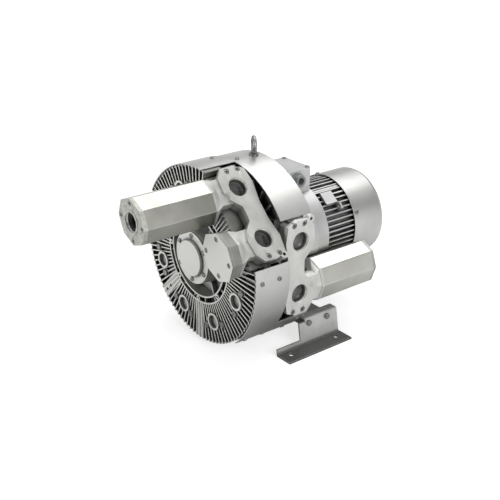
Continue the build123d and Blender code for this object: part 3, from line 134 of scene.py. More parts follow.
def backdrop_white():
    """Matt paper: the camera sees it white, metal sees it white too but in a painted shadow close to the
    machine, and real shadows stay."""
    material = blank("studio_paper")
    path = add(material, "ShaderNodeLightPath")
    place = add(material, "ShaderNodeTexCoord").outputs["Object"]
    distance = add(material, "ShaderNodeVectorMath", operation="LENGTH", Vector=place).outputs["Value"]
    # painted shadow: metal sees less glow from the paper close under the machine
    glow_beyond_painted_shadow = add(material, "ShaderNodeMapRange", Value=distance, From_Min=SHADE_REACH,
              From_Max=SHADE_END).outputs["Result"]
    mirrored = add(material, "ShaderNodeMath", operation="MULTIPLY", _0=path.outputs["Is Glossy Ray"], _1=glow_beyond_painted_shadow)
    seen = add(material, "ShaderNodeMath", operation="MAXIMUM", _0=path.outputs["Is Camera Ray"],
               _1=path.outputs["Is Transmission Ray"])
    seen = add(material, "ShaderNodeMath", operation="MAXIMUM", _0=seen.outputs["Value"],
               _1=mirrored.outputs["Value"])
    level = add(material, "ShaderNodeMapRange", Value=distance, From_Min=LAMP_REACH, From_Max=LAMP_END,
                To_Min=FLOOR_GLOW, To_Max=1.0).outputs["Result"]
    strength = add(material, "ShaderNodeMath", operation="MULTIPLY", _0=seen.outputs["Value"], _1=level)
    paper = add(material, "ShaderNodeBsdfDiffuse", Color=linear("#BDBDBD"))
    glow = add(material, "ShaderNodeEmission", Color=WHITE, Strength=strength.outputs["Value"])
    both = add(material, "ShaderNodeAddShader", _0=paper.outputs["BSDF"], _1=glow.outputs["Emission"])
    return finish_material(material, both.outputs["Shader"])


def studio_room():
    """White for the camera; for metal a white horizon, grey walls and a white ceiling; a weak even fill."""
    world = bpy.data.worlds.new("studio")
    world.use_nodes = True
    bpy.context.scene.world = world
    world.node_tree.nodes.clear()
    path = add(world, "ShaderNodeLightPath")
    seen = add(world, "ShaderNodeMath", operation="MAXIMUM", _0=path.outputs["Is Camera Ray"],
               _1=path.outputs["Is Transmission Ray"]).outputs["Value"]
    direction = add(world, "ShaderNodeTexCoord").outputs["Generated"]
    height = add(world, "ShaderNodeSeparateXYZ", Vector=direction).outputs["Z"]
    wall = add(world, "ShaderNodeMapRange", Value=height, From_Min=WALL_FOOT, From_Max=WALL_LOW, To_Min=1.0,
               To_Max=WALL_GREY).outputs["Result"]
    ceiling = add(world, "ShaderNodeMapRange", Value=height, From_Min=WALL_HIGH, From_Max=CEILING,
                  To_Max=1.0 - WALL_GREY).outputs["Result"]
    mirrored = add(world, "ShaderNodeMath", operation="ADD", _0=wall, _1=ceiling).outputs["Value"]
    strength = add(world, "ShaderNodeMix", data_type="FLOAT", _0=path.outputs["Is Glossy Ray"],
                   _2=WORLD_LIGHT, _3=mirrored).outputs["Result"]
    strength = add(world, "ShaderNodeMapRange", Value=seen, To_Min=strength, To_Max=1.0)
    glow = add(world, "ShaderNodeBackground", Color=WHITE, Strength=strength.outputs["Result"])
    add(world, "ShaderNodeOutputWorld", Surface=glow.outputs["Background"])


def build_studio():
    """Paper floor, surroundings and three soft lamps."""
    bpy.ops.object.select_all(action="DESELECT")
    bpy.ops.mesh.primitive_plane_add(size=FLOOR_SIZE, location=(0.0, 0.0, -FLOOR_DROP))
    floor = bpy.context.object
    floor.name = "floor"
    floor.data.materials.append(backdrop_white())
    studio_room()
    soft_lamp("sky_panel", place=(-0.4, 0.75, 2.4), target=(0.0, 0.0, 0.25), width=2.6, height=2.2,
              power=50.0)
    soft_lamp("front_panel", place=(-0.7, -2.7, 1.1), target=(0.0, 0.0, 0.2), width=1.4, height=1.4,
              power=31.0)
    soft_lamp("side_panel", place=(2.5, -0.2, 1.4), target=(0.0, 0.0, 0.2), width=1.4, height=1.2,
              power=37.0)
    bpy.context.scene.view_settings.view_transform = "Standard"


# ------------------------------------------------------------------ how a finish is made
EDGE_MM = 1.0  # width of the painted highlight and wear on edges; a real edge is rubbed bright over 0.3 mm, drawn wider so that it shows
WEAR_AND_HIGHLIGHT_STARTS, WEAR_AND_HIGHLIGHT_FULL = 0.98, 0.8  # cosines of the rounded normal's lean
GAP_SHADE_AND_DUST_MM = 18.0  # walls nearer than this darken a spot with painted shade and dust
SHUT, OPEN = 0.25, 0.85  # share of the surroundings that a spot sees deep in a gap and on an outer face
WEB_FOOT, FLANGE_FACE = 14 * MM, 7 * MM
SQUARE_TO_SHAFT = -0.97
PATCHES = (0.3, 0.7)  # noise values between which a patch goes from deep to pale
GRAIN = (0.25, 0.75)  # noise values of the grain's hollows and crests
SPECK = (0.9, 1.06)  # brightness of the grain's hollows and crests


def edge_wear_and_highlight(material):
    """How much wear and painted highlight a spot gets, 0 on a face and 1 on a sharp edge, and the rounded
    normal it is told by.
    """
    rounded = add(material, "ShaderNodeBevel", samples=4, Radius=EDGE_MM * MM).outputs["Normal"]
    flat = add(material, "ShaderNodeNewGeometry").outputs["Normal"]
    lean = add(material, "ShaderNodeVectorMath", operation="DOT_PRODUCT", _0=rounded, _1=flat)
    wear_and_highlight = add(material, "ShaderNodeMapRange", Value=lean.outputs["Value"], From_Min=WEAR_AND_HIGHLIGHT_STARTS,
               From_Max=WEAR_AND_HIGHLIGHT_FULL)
    return wear_and_highlight.outputs["Result"], rounded


def gap_dust_and_painted_shade(material, dark, reach_mm):
    """How open a spot is: 1 on an outer face, down to `dark` between ribs, as painted shade and the dust and
    oil that settle there.
    """
    opening = add(material, "ShaderNodeAmbientOcclusion", samples=6, Distance=reach_mm * MM)
    return add(material, "ShaderNodeMapRange", Value=opening.outputs["AO"], From_Min=SHUT, From_Max=OPEN,
               To_Min=dark, To_Max=1.0).outputs["Result"]


def flange_painted_shade(material):
    """1 on a bracket's flange that lies on the floor, where shade is painted, 0 on its upright web."""
    place = add(material, "ShaderNodeTexCoord").outputs["Object"]
    height = add(material, "ShaderNodeSeparateXYZ", Vector=place).outputs["Z"]
    return add(material, "ShaderNodeMapRange", Value=height, From_Min=WEB_FOOT,
               From_Max=FLANGE_FACE).outputs["Result"]


def surface(name, pale, deep, patch_mm, grain_mm, rough, metallic, bump_mm, edge=None, dark=None,
            reach_mm=GAP_SHADE_AND_DUST_MM, flange_shade_colour=None):
    """A finish whose colour drifts in patches and whose roughness and relief follow a fine grain.

    `edge` is the colour of rubbed edges with their painted highlight, `dark` how dark gaps get under painted
    shade and dust; the last argument is the colour that painted shade gives a bracket's flange."""
    material = blank(name)
    place = add(material, "ShaderNodeTexCoord").outputs["Object"]
    patches = add(material, "ShaderNodeTexNoise", Vector=place, Scale=1 / (patch_mm * MM), Detail=3.0)
    grain = add(material, "ShaderNodeTexNoise", Vector=place, Scale=1 / (grain_mm * MM),
                Detail=2.0).outputs["Fac"]
    blend = add(material, "ShaderNodeMapRange", Value=patches.outputs["Fac"], From_Min=PATCHES[0],
                From_Max=PATCHES[1])
    colour = add(material, "ShaderNodeMix", data_type="RGBA", _0=blend.outputs["Result"], _6=linear(deep),
                 _7=linear(pale)).outputs["Result"]
    speck = add(material, "ShaderNodeMapRange", Value=grain, From_Min=GRAIN[0], From_Max=GRAIN[1],
                To_Min=SPECK[0], To_Max=SPECK[1]).outputs["Result"]
    # painted shade and dust darken the colour in gaps
    if dark is not None:
        speck = add(material, "ShaderNodeMath", operation="MULTIPLY", _0=speck,
                    _1=gap_dust_and_painted_shade(material, dark, reach_mm)).outputs["Value"]
    # painted shade: the flange on the floor takes a darker colour
    if flange_shade_colour is not None:
        colour = add(material, "ShaderNodeMix", data_type="RGBA", _0=flange_painted_shade(material), _6=colour,
                     _7=linear(flange_shade_colour)).outputs["Result"]
    colour = add(material, "ShaderNodeVectorMath", operation="SCALE", Vector=colour,
                 Scale=speck).outputs["Vector"]
    gloss = add(material, "ShaderNodeMapRange", Value=grain, From_Min=GRAIN[0], From_Max=GRAIN[1],
                To_Min=rough[0], To_Max=rough[1])
    relief = add(material, "ShaderNodeBump", Strength=1.0, Distance=bump_mm * MM, Height=grain)
    # painted highlight and wear brighten the edges
    if edge is not None:
        wear_and_highlight, rounded = edge_wear_and_highlight(material)
        colour = add(material, "ShaderNodeMix", data_type="RGBA", _0=wear_and_highlight, _6=colour,
                     _7=linear(edge)).outputs["Result"]
        material.node_tree.links.new(rounded, relief.inputs["Normal"])
    shader = add(material, "ShaderNodeBsdfPrincipled", Base_Color=colour, Metallic=metallic,
                 Roughness=gloss.outputs["Result"], Normal=relief.outputs["Normal"])
    return finish_material(material, shader.outputs["BSDF"])


def turned_faces_on_casting():
    """Die-cast aluminium with the faces square to the shaft turned bright in fine rings.

    A tool leaves rings 0.2 mm apart, drawn 0.8 mm apart so that they show."""
    patch_mm, grain_mm, ring_mm, relief_mm = 45, 1.4, 0.8, 0.04
    raw_rough, turned_rough = 0.62, 0.42
    material = blank("die_cast_aluminium_machined_faces")
    texture = add(material, "ShaderNodeTexCoord")
    place = texture.outputs["Object"]
    patches = add(material, "ShaderNodeTexNoise", Vector=place, Scale=1 / (patch_mm * MM), Detail=3.0)
    grain = add(material, "ShaderNodeTexNoise", Vector=place, Scale=1 / (grain_mm * MM), Detail=2.0)
    blend = add(material, "ShaderNodeMapRange", Value=patches.outputs["Fac"], From_Min=PATCHES[0],
                From_Max=PATCHES[1])
    raw = add(material, "ShaderNodeMix", data_type="RGBA", _0=blend.outputs["Result"], _6=linear("#747470"),
              _7=linear("#8F8F8B"))
    facing = add(material, "ShaderNodeSeparateXYZ", Vector=texture.outputs["Normal"]).outputs["Y"]
    turned = add(material, "ShaderNodeMath", operation="LESS_THAN", _0=facing,
                 _1=SQUARE_TO_SHAFT).outputs["Value"]
    centred = add(material, "ShaderNodeMapping", Vector=place, Location=(0.0, 0.0, -SHAFT_HEIGHT),
                  Scale=(1.0, 0.0, 1.0))
    radius = add(material, "ShaderNodeVectorMath", operation="LENGTH", Vector=centred.outputs["Vector"])
    phase = add(material, "ShaderNodeMath", operation="MULTIPLY", _0=radius.outputs["Value"],
                _1=2 * math.pi / (ring_mm * MM))
    rings = add(material, "ShaderNodeMath", operation="SINE", _0=phase.outputs["Value"])
    colour = add(material, "ShaderNodeMix", data_type="RGBA", _0=turned, _6=raw.outputs["Result"],
                 _7=linear("#D9D9D5"))
    # painted shade and dust darken the colour in gaps
    colour = add(material, "ShaderNodeVectorMath", operation="SCALE", Vector=colour.outputs["Result"],
                 Scale=gap_dust_and_painted_shade(material, 0.02, GAP_SHADE_AND_DUST_MM))
    # painted highlight and wear brighten the edges
    wear_and_highlight, rounded = edge_wear_and_highlight(material)
    colour = add(material, "ShaderNodeMix", data_type="RGBA", _0=wear_and_highlight, _6=colour.outputs["Vector"],
                 _7=linear("#E2E2DE"))
    height = add(material, "ShaderNodeMix", data_type="FLOAT", _0=turned, _2=grain.outputs["Fac"],
                 _3=rings.outputs["Value"])
    gloss = add(material, "ShaderNodeMapRange", Value=turned, To_Min=raw_rough, To_Max=turned_rough)
    relief = add(material, "ShaderNodeBump", Strength=1.0, Distance=relief_mm * MM,
                 Height=height.outputs["Result"], Normal=rounded)
    shader = add(material, "ShaderNodeBsdfPrincipled", Base_Color=colour.outputs["Result"], Metallic=0.35,
                 Roughness=gloss.outputs["Result"], Normal=relief.outputs["Normal"])
    return finish_material(material, shader.outputs["BSDF"])


# ------------------------------------------------------------------ the finishes
# Orange peel, laminations, wire and foam pores have about their real size. The grain of blasted, sand-cast,
# tumbled, plated, ground, polished, turned, anodised and moulded surfaces is really about 0.02 to 0.5 mm. That
# is too fine to show, so it is drawn coarser.
SLOT_FINISHES = {
    # die-cast aluminium, blasted: dull light grey with an even grain, edges rubbed bright with a painted
    # highlight, painted shade and dust between ribs
    "cast_aluminium": surface("die_cast_aluminium", "#B8B8B5", "#9F9F9C", patch_mm=40, grain_mm=1.4,
                              rough=(0.46, 0.6), metallic=0.45, bump_mm=0.05, edge="#DADAD6", dark=0.06),
    # die-cast aluminium from a smoother die: finer grain, cleaner
    "impeller_aluminium": surface("impeller_die_casting", "#BDBDBB", "#A8A8A6", patch_mm=25, grain_mm=0.6,
                                  rough=(0.4, 0.5), metallic=0.5, bump_mm=0.03),
    # silver lacquer on cast aluminium: smooth with a slight orange peel, painted shade and dust between the
    # fins, edges worn with a painted highlight
    "motor_aluminium": surface("silver_lacquer_on_casting", "#C8C9C8", "#B5B6B5", patch_mm=60, grain_mm=1.6,
                               rough=(0.38, 0.48), metallic=0.5, bump_mm=0.03, edge="#D8D8D6", dark=0.03),
    # clear-anodised extrusion: satin metal with a warm cast, mirrors the room softly, edges worn with a
    # painted highlight
    "extruded_aluminium": surface("anodised_extrusion", "#C9C9C3", "#B7B7B0", patch_mm=70, grain_mm=0.5,
                                  rough=(0.26, 0.34), metallic=0.92, bump_mm=0.01, edge="#DCDCD8"),
    # silver lacquer on rolled sheet: flat and even, worn with a painted highlight where it is bent or cut
    "silver_sheet_steel": surface("silver_lacquer_on_sheet", "#BFBFBD", "#AFAFAD", patch_mm=90, grain_mm=1.3,
                                  rough=(0.34, 0.42), metallic=0.75, bump_mm=0.012, edge="#E0E0DE"),
    # the same lacquer on the pressed brackets, edges worn with a painted highlight, painted shade on the
    # flange that lies on the floor
    "foot_sheet_steel": surface("silver_lacquer_on_bracket", "#CACAC8", "#B4B4B2", patch_mm=50, grain_mm=1.2,
                                rough=(0.4, 0.5), metallic=0.6, bump_mm=0.02, edge="#DADAD8",
                                flange_shade_colour="#6C6C6A"),
    # ground steel: bright, slightly oily
    "shaft_steel": surface("ground_steel", "#A8A9AB", "#8E8F91", patch_mm=12, grain_mm=0.4,
                           rough=(0.22, 0.32), metallic=1.0, bump_mm=0.005),
    # lapped bearing steel: near mirror
    "bearing_steel": surface("polished_bearing_steel", "#C4C5C8", "#ADAEB1", patch_mm=10, grain_mm=0.3,
                             rough=(0.12, 0.2), metallic=1.0, bump_mm=0.002),
    # turned brass: warm yellow, satin
    "cage_brass": surface("turned_brass", "#C8A45A", "#AE8B46", patch_mm=8, grain_mm=0.4,
                          rough=(0.28, 0.38), metallic=1.0, bump_mm=0.01),
    # zinc-plated steel: darker than aluminium, cloudy
    "zinc_fasteners": surface("zinc_plated_steel", "#8F908F", "#6B6D6C", patch_mm=6, grain_mm=0.5,
                              rough=(0.3, 0.45), metallic=0.9, bump_mm=0.01),
    # moulded nitrile rubber: black, matt
    "seal_rubber": surface("nitrile_rubber", "#2B2B2B", "#1C1C1C", patch_mm=12, grain_mm=0.5,
                           rough=(0.7, 0.85), metallic=0.0, bump_mm=0.03),
    # open-cell foam: brown-grey with deep pores about 2 mm wide
    "silencer_foam": surface("open_foam", "#6A675A", "#2E2C26", patch_mm=5, grain_mm=2.2,
                             rough=(0.9, 1.0), metallic=0.0, bump_mm=0.8),
    # stamped laminations under varnish: dark grey, slightly glossy
    "lamination_steel": surface("varnished_laminations", "#5A5A5C", "#3B3B3D", patch_mm=3, grain_mm=0.5,
                                rough=(0.4, 0.5), metallic=0.7, bump_mm=0.02),
    # enamelled copper wire: reddish brown, glossy
    "copper_winding": surface("enamelled_copper", "#A4592E", "#7C3D1D", patch_mm=3, grain_mm=0.7,
                              rough=(0.3, 0.4), metallic=0.8, bump_mm=0.08),
    # moulded polyamide, black: half matt
    "fan_plastic": surface("black_polyamide", "#2A2A2C", "#1E1E20", patch_mm=10, grain_mm=0.5,
                           rough=(0.5, 0.6), metallic=0.0, bump_mm=0.02),
    # moulded polyamide, grey: half matt
    "gland_plastic": surface("grey_polyamide", "#8D9090", "#7C7F7F", patch_mm=10, grain_mm=0.5,
                             rough=(0.45, 0.55), metallic=0.0, bump_mm=0.02),
}
# thread cut in the casting: dull and dusty, with painted shade inside the mouth
SHADED_DUSTY_THREAD = surface("thread_dust_and_painted_shade", "#7C7C79", "#62625F", patch_mm=40, grain_mm=1.4, rough=(0.5, 0.64),
                       metallic=0.4, bump_mm=0.05, dark=0.03, reach_mm=45.0)
# aluminium freshly turned, its pale colour partly a painted highlight: the brightest metal on the machine
TURNED_CHAMFER_HIGHLIGHT = surface("turned_aluminium_painted_highlight", "#F0F0EC", "#E2E2DE", patch_mm=8, grain_mm=0.5,
                         rough=(0.2, 0.3), metallic=0.3, bump_mm=0.01)
# die casting tumbled bright: lighter and smoother than blasting leaves it, edges worn with a painted
# highlight, painted shade and dust in gaps
TUMBLED = surface("tumbled_die_casting", "#D6D6D3", "#C4C4C1", patch_mm=40, grain_mm=1.4, rough=(0.42, 0.54),
                  metallic=0.35, bump_mm=0.04, edge="#E6E6E2", dark=0.25)
# die casting behind the shrouds: darker, with painted shade and the dust that the cooling air leaves in every
# pocket, edges worn with a painted highlight
SHADED_DUSTY_CASTING = surface("die_casting_dust_and_painted_shade", "#A9A9A6", "#90908D", patch_mm=40, grain_mm=1.4, rough=(0.5, 0.64),
                metallic=0.4, bump_mm=0.05, edge="#D2D2CE", dark=0.03, reach_mm=45.0)
# extrusion from an older anodising bath: duller and darker, edges worn with a painted highlight
DULL_ANODISED = surface("dull_anodised_extrusion", "#A8A8A1", "#95958E", patch_mm=70, grain_mm=0.5,
                        rough=(0.28, 0.36), metallic=0.95, bump_mm=0.01, edge="#D4D4D0")
# sand casting left as cast: rough and blotchy, its sand grain drawn 3 mm wide so that it shows; edges worn
# with a painted highlight, painted shade and dust in gaps
SAND_CAST = surface("sand_cast_aluminium", "#BFC0B9", "#9A9B93", patch_mm=9, grain_mm=3.0, rough=(0.5, 0.66),
                    metallic=0.45, bump_mm=0.3, edge="#D8D8D2", dark=0.2)
TURNED_FACES = turned_faces_on_casting()

NODE_FINISHES = {
    "front_cover": TURNED_FACES,
    "blanking_cover": TURNED_FACES,
    "bearing_cap": TURNED_FACES,
    "middle_housing": SHADED_DUSTY_CASTING,
    "rear_housing": SHADED_DUSTY_CASTING,
    "rear_port_casting": TUMBLED,
    "front_silencer_tube": DULL_ANODISED,
    "front_silencer_end_cap": SAND_CAST,
}


def dress_nodes():
    """Every CAD node gets its own finish, or else its slot's."""
    for part in frame["record"]["subparts"]:
        materials = nodes[part["node"]].data.materials
        materials.clear()
        materials.append(NODE_FINISHES.get(part["node"], SLOT_FINISHES[part["material_slot"]]))


# ------------------------------------------------------------------ modelling helpers
SMOOTH = math.radians(35)
ORIGIN = (0.0, 0.0, 0.0)


def alone(piece):
    """Selects one piece and nothing else."""
    bpy.ops.object.select_all(action="DESELECT")
    piece.select_set(True)
    bpy.context.view_layer.objects.active = piece


def apply(piece, kind, **settings):
    """Adds a modifier to a piece and applies it."""
    modifier = piece.modifiers.new(kind.lower(), kind)
    for name, value in settings.items():
        setattr(modifier, name, value)
    alone(piece)
    bpy.ops.object.modifier_apply(modifier=modifier.name)


def cut(piece, tool, operation="DIFFERENCE"):
    """Cuts a piece with a tool, whose finish the cut faces take, and removes the tool."""
    apply(piece, "BOOLEAN", operation=operation, object=tool, solver="EXACT", material_mode="TRANSFER")
    bpy.data.objects.remove(tool)


def settled_mesh():
    """Moves the place of the piece just added into its mesh."""
    piece = bpy.context.object
    bpy.ops.object.transform_apply(location=True, rotation=True, scale=True)
    return piece


def drum(radius, low, high, sides=32, top=None):
    """Upright cylinder or cone between two heights."""
    bpy.ops.object.select_all(action="DESELECT")
    bpy.ops.mesh.primitive_cone_add(vertices=sides, radius1=radius, radius2=radius if top is None else top,
                                    depth=high - low, location=(0.0, 0.0, (low + high) / 2))
    return settled_mesh()


def choose(piece, keep, kind="FACE"):
    """Leaves edit mode's selection on the faces, edges or points that `keep` picks by their place."""
    alone(piece)
    bpy.ops.object.mode_set(mode="EDIT")
    bpy.ops.mesh.select_mode(type=kind)
    bpy.ops.mesh.select_all(action="DESELECT")
    shape = bmesh.from_edit_mesh(piece.data)
    items = {"FACE": shape.faces, "EDGE": shape.edges, "VERT": shape.verts}[kind]
    for item in items:
        item.select_set(keep(item))
    bmesh.update_edit_mesh(piece.data)


def leave():
    """Goes back from edit mode."""
    bpy.ops.object.mode_set(mode="OBJECT")


def remove_faces(piece, drop):
    """Deletes the faces that `drop` picks."""
    choose(piece, drop)
    bpy.ops.mesh.delete(type="FACE")
    leave()


def edge_level(edge):
    """Height of a level edge, or None."""
    low, high = sorted(v.co.z for v in edge.verts)
    return high if high - low < 1e-7 else None


def round_rim(piece, level, width, segments):
    """Rounds the edges that lie at one height."""
    choose(piece, lambda e: edge_level(e) is not None and abs(edge_level(e) - level) < MERGE, "EDGE")
    bpy.ops.mesh.bevel(offset=width, segments=segments, affect="EDGES")
    leave()


def narrow(ratio):
    """Scales the selection about the upright axis."""
    bpy.ops.transform.resize(value=(ratio, ratio, 1.0), center_override=ORIGIN)


def join(first, others):
    """Makes the others part of the first piece."""
    alone(first)
    for other in others:
        other.select_set(True)
    if others:
        bpy.ops.object.join()
    return first


def stand(piece, at, axis, turn=0.0):
    """Moves an upright piece's mesh to its place, with its own upward direction along `axis`."""
    piece.data.transform(Matrix.Translation(at) @ axis.to_track_quat("Z", "Y").to_matrix().to_4x4()
                         @ Matrix.Rotation(turn, 4, "Z"))


def fix_to_housing(piece, node=None):
    """Fixes a finished piece to the housing, in place of a CAD node if one is named."""
    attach(piece, "housing")
    if node is not None:
        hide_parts(node)


def finish_piece(piece, name, material):
    """Names a piece, gives it its finish and smooths its round faces."""
    piece.name = name
    piece.data.materials.clear()
    piece.data.materials.append(material)
    alone(piece)
    bpy.ops.object.shade_smooth_by_angle(angle=SMOOTH)


# ------------------------------------------------------------------ bolts and screws
PITCHES = {3.0: 1.0, 4.0: 1.25, 5.0: 1.5}  # coarse thread pitch by shank radius, mm
THREAD_DEPTH = 0.61  # of the pitch
THREADED = 4.8  # threaded length in shank radii
POINT = 0.8  # radius of the chamfered point, of the shank's
SINK = 0.3 * MM  # the shank's top lies inside the head
SHORTEST_PLAIN = 0.6 * MM
WASHER_FACE = 0.5 * MM
OVERLAP = 0.1 * MM
PROUD = 0.01 * MM  # a cutting tool stands past what it cuts
SCREW_TURN = 0.9  # from one screw to the next, so that their heads don't line up


def thread_on(piece, level, major, pitch, turns):
    """Runs a threaded end downwards from the piece's lowest face, one turn after the other."""
    minor = major - THREAD_DEPTH * pitch
    half_turn = {"value": (0.0, 0.0, -pitch / 2)}
    choose(piece, lambda f: f.normal.z < -0.9 and abs(f.calc_center_median().z - level) < MERGE)
    for _ in range(turns):
        for radius, next_radius in ((major, minor), (minor, major)):
            bpy.ops.mesh.extrude_region_move(TRANSFORM_OT_translate=half_turn)
            narrow(next_radius / radius)
    bpy.ops.mesh.extrude_region_move(TRANSFORM_OT_translate=half_turn)
    narrow(POINT)
    leave()


def shank(radius, length, pitch):
    """Bolt shank hanging below zero, its last part threaded."""
    turns = max(1, int(THREADED * radius / pitch) - 1)
    plain = max(length - (turns + 0.5) * pitch, SHORTEST_PLAIN)
    piece = drum(radius, -plain, SINK, 20)
    thread_on(piece, -plain, radius, pitch, turns)
    return piece


def hexagon_bolt(radius, head_radius, head, length, pitch):
    """Hexagon head with turned corners and a washer face, on a threaded shank."""
    flat = 0.95 * head_radius
    corner = flat / math.cos(math.pi / 6)
    crown, seat = 0.93 * flat, 0.97 * flat
    low = WASHER_FACE - OVERLAP
    block = drum(corner, low, head, 6)
    turned = drum(corner + 0.6 * head, low - PROUD, head + PROUD, 48, top=crown)
    cut(block, turned, "INTERSECT")
    washer = drum(seat, 0.0, WASHER_FACE)
    return join(block, [washer, shank(radius, length, pitch)])


def socket_screw(radius, head_radius, head, length, pitch):
    """Cylinder head with a rounded rim and a hexagon socket."""
    rim, socket, socket_floor = 0.12 * head_radius, 0.55 * head_radius, 0.5 * head
    piece = drum(head_radius, 0.0, head)
    round_rim(piece, head, rim, 3)
    cut(piece, drum(socket, socket_floor, head + 1 * MM, 6))
    return join(piece, [shank(radius, length, pitch)])


def button_screw(radius, head_radius, head, length, pitch):
    """Low domed head with a cross-shaped driving recess."""
    dome = min(0.62 * head, 0.4 * head_radius)
    blade = (0.95 * head_radius, 0.2 * head_radius, 1.1 * head)
    piece = drum(head_radius, 0.0, head)
    round_rim(piece, head, dome, 4)
    for turn in (0.0, math.pi / 2):
        bpy.ops.object.select_all(action="DESELECT")
        bpy.ops.mesh.primitive_cube_add(size=1.0, location=(0.0, 0.0, head), rotation=(0.0, 0.0, turn),
                                        scale=blade)
        cut(piece, settled_mesh())
    return join(piece, [shank(radius, length, pitch)])


def solids_in(node):
    """The separate solids of a node, each as its list of points."""
    shape = bmesh.new()
    shape.from_mesh(nodes[node].data)
    bmesh.ops.remove_doubles(shape, verts=shape.verts, dist=MERGE)
    waiting, groups = set(shape.verts), []
    while waiting:
        reached, group = [waiting.pop()], []
        while reached:
            point = reached.pop()
            group.append(point.co.copy())
            for edge in point.link_edges:
                other = edge.other_vert(point)
                if other in waiting:
                    waiting.remove(other)
                    reached.append(other)
        groups.append(group)
    shape.free()
    return groups


def long_axis(points):
    """Direction in which a screw's points spread most."""
    cloud = numpy.array([tuple(p) for p in points])
    spread = numpy.linalg.svd(cloud - cloud.mean(0), full_matrices=False)[2]
    return Vector(spread[0]).normalized()


def screw_place(points, axis):
    """Where a plain screw stands: under its head on its axis, with its sizes."""
    levels = sorted({round(p.dot(axis), 6) for p in points})
    middle = sum(points, Vector()) / len(points)

    def reach(level):
        ring = [p for p in points if abs(p.dot(axis) - level) < 2 * MERGE]
        centre = sum(ring, Vector()) / len(ring)
        return max((p - centre).length for p in ring)

    shank_radius, head_radius = reach(levels[0]), reach(levels[-1])
    if shank_radius > head_radius:
        return screw_place(points, -axis)
    under = next(level for level in levels[1:] if reach(level) > shank_radius + 0.1 * MM)
    return {"at": middle + axis * (under - middle.dot(axis)), "axis": axis.copy(), "radius": shank_radius,
            "head_radius": head_radius, "head": levels[-1] - under, "length": under - levels[0]}


def detailed_screws(node, build, name):
    """Replaces a node of plain screws by the same number of detailed ones in the same places."""
    kinds, copies = {}, []
    for i, points in enumerate(solids_in(node)):
        place = screw_place(points, long_axis(points))
        size = tuple(round(place[key] / MM, 1) for key in ("radius", "head_radius", "head", "length"))
        if size not in kinds:
            pitch = PITCHES[min(PITCHES, key=lambda r: abs(r - size[0]))] * MM
            kinds[size] = build(*[value * MM for value in size], pitch)
        copy = bpy.data.objects.new(name, kinds[size].data.copy())
        bpy.context.scene.collection.objects.link(copy)
        stand(copy, place["at"], place["axis"], i * SCREW_TURN)
        copies.append(copy)
    for model in kinds.values():
        bpy.data.objects.remove(model)
    piece = join(copies[0], copies[1:])
    finish_piece(piece, name, SLOT_FINISHES["zinc_fasteners"])
    fix_to_housing(piece, node)


# ------------------------------------------------------------------ mouths
THREAD_PITCH = 2.309 * MM
THREAD_TURNS = 5
CREST = 0.95 * MM
THREAD_SKIN = 0.3 * MM
THREAD_GAP = 0.02 * MM
CHAMFER = 3.6 * MM
CHAMFER_FIT = 0.03 * MM  # the chamfering tool's foot is this much narrower than the mouth
MOUTH_SIDES = 64
MOUTH_SMOOTH = math.radians(20)
WIRE_PITCH = 2.6 * MM  # a real screen has 1 mm meshes, drawn coarser so that they show
WIRE = 0.75 * MM
SCREEN_RIM = 1.0 * MM
SCREEN_GAP = 1.2 * MM
SCREEN_DEPTH = 16.5 * MM
PORTS = {
    "front_port_casting": ("front_upper_port", "front_lower_port"),
    "rear_port_casting": ("rear_upper_port", "rear_lower_port"),
    "front_silencer_end_cap": ("front_silencer_port",),
    "rear_silencer_end_cap": ("rear_silencer_port",),
}


def stand_in_mouth(piece, mouth, turn=0.0):
    """Puts a piece that was modelled below zero into a mouth, with zero at the mouth's face."""
    stand(piece, Vector(mounts[mouth]["pos_m"]), Vector(mounts[mouth]["axis"]), turn)


def mouth_radius(mouth):
    """Radius of a mouth's plain bore."""
    return mounts[mouth]["dims"]["r_mm"] * MM


def turned_mouths(node, mouths):
    """Copy of a casting with its mouths chamfered for the pipe thread; it stands for the node."""
    piece = bpy.data.objects.new(node + "_turned", nodes[node].data.copy())
    bpy.context.scene.collection.objects.link(piece)
    shape = bmesh.new()
    shape.from_mesh(piece.data)
    bmesh.ops.remove_doubles(shape, verts=shape.verts, dist=MERGE)
    shape.to_mesh(piece.data)
    shape.free()
    for mouth in mouths:
        wall, past = mouth_radius(mouth), 1 * MM
        tool = drum(wall - CHAMFER_FIT, -CHAMFER, past, MOUTH_SIDES, top=wall + CHAMFER + past)
        stand_in_mouth(tool, mouth)
        # the chamfer's pale colour is partly a painted highlight
        tool.data.materials.append(TURNED_CHAMFER_HIGHLIGHT)
        cut(piece, tool)
    alone(piece)
    bpy.ops.object.shade_smooth_by_angle(angle=MOUTH_SMOOTH)
    apply(piece, "WEIGHTED_NORMAL", keep_sharp=True)
    fix_to_housing(piece, node)


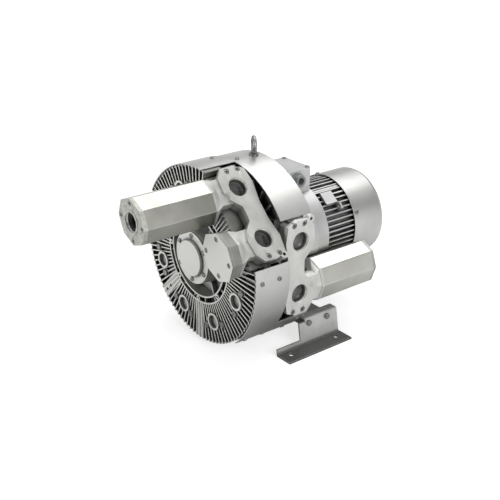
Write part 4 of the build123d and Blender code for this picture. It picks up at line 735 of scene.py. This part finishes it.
def pipe_thread(mouth):
    """Rounded crests of a pipe thread standing inwards from a mouth's wall, below its chamfer."""
    wall = mouth_radius(mouth) - THREAD_GAP
    piece = drum(wall, -CHAMFER - THREAD_TURNS * THREAD_PITCH, -CHAMFER, MOUTH_SIDES)
    remove_faces(piece, lambda f: abs(f.normal.z) > 0.9)
    choose(piece, lambda e: edge_level(e) is None, "EDGE")
    bpy.ops.mesh.subdivide(number_cuts=2 * THREAD_TURNS - 1)
    leave()
    crests = [-CHAMFER - (i + 0.5) * THREAD_PITCH for i in range(THREAD_TURNS)]
    choose(piece, lambda v: any(abs(v.co.z - z) < 0.05 * MM for z in crests), "VERT")
    narrow((wall - CREST) / wall)
    leave()
    apply(piece, "SOLIDIFY", thickness=THREAD_SKIN, offset=1.0)
    stand_in_mouth(piece, mouth)
    finish_piece(piece, mouth + "_thread", SHADED_DUSTY_THREAD)
    fix_to_housing(piece)


def wire_screen(mouth):
    """Round woven-wire screen across a mouth, held in a folded rim."""
    radius = mouth_radius(mouth) - SCREEN_GAP
    cells = 2 * int(radius / WIRE_PITCH)
    bpy.ops.object.select_all(action="DESELECT")
    bpy.ops.mesh.primitive_grid_add(x_subdivisions=cells, y_subdivisions=cells, size=cells * WIRE_PITCH,
                                    location=(0.0, 0.0, -SCREEN_DEPTH))
    piece = settled_mesh()
    remove_faces(piece, lambda f: f.calc_center_median().xy.length > radius - 0.3 * WIRE_PITCH)
    apply(piece, "WIREFRAME", thickness=WIRE, use_even_offset=True)
    bpy.ops.object.select_all(action="DESELECT")
    bpy.ops.mesh.primitive_torus_add(major_radius=radius, minor_radius=SCREEN_RIM, major_segments=48,
                                     minor_segments=10, location=(0.0, 0.0, -SCREEN_DEPTH))
    join(piece, [settled_mesh()])
    stand_in_mouth(piece, mouth, math.pi / 4)
    finish_piece(piece, mouth + "_screen", SLOT_FINISHES["zinc_fasteners"])
    fix_to_housing(piece)


def fit_mouths():
    """Chamfers and threads in all six mouths, and screens in the four on the port castings."""
    for node, mouths in PORTS.items():
        turned_mouths(node, mouths)
    for node, mouths in PORTS.items():
        for mouth in mouths:
            pipe_thread(mouth)
            if "port_casting" in node:
                wire_screen(mouth)


dress_nodes()
detailed_screws("housing_bolts", hexagon_bolt, "housing_bolts_hexagon")
detailed_screws("shield_bolts", hexagon_bolt, "shield_bolts_hexagon")
detailed_screws("foot_bolts", hexagon_bolt, "foot_bolts_hexagon")
detailed_screws("port_casting_bolts", socket_screw, "port_casting_socket_screws")
detailed_screws("silencer_tie_rods", socket_screw, "silencer_tie_rods_socket_head")
detailed_screws("cover_screws", button_screw, "cover_screws_domed")
detailed_screws("shroud_screws", button_screw, "shroud_screws_domed")
fit_mouths()
place_camera()
build_studio()
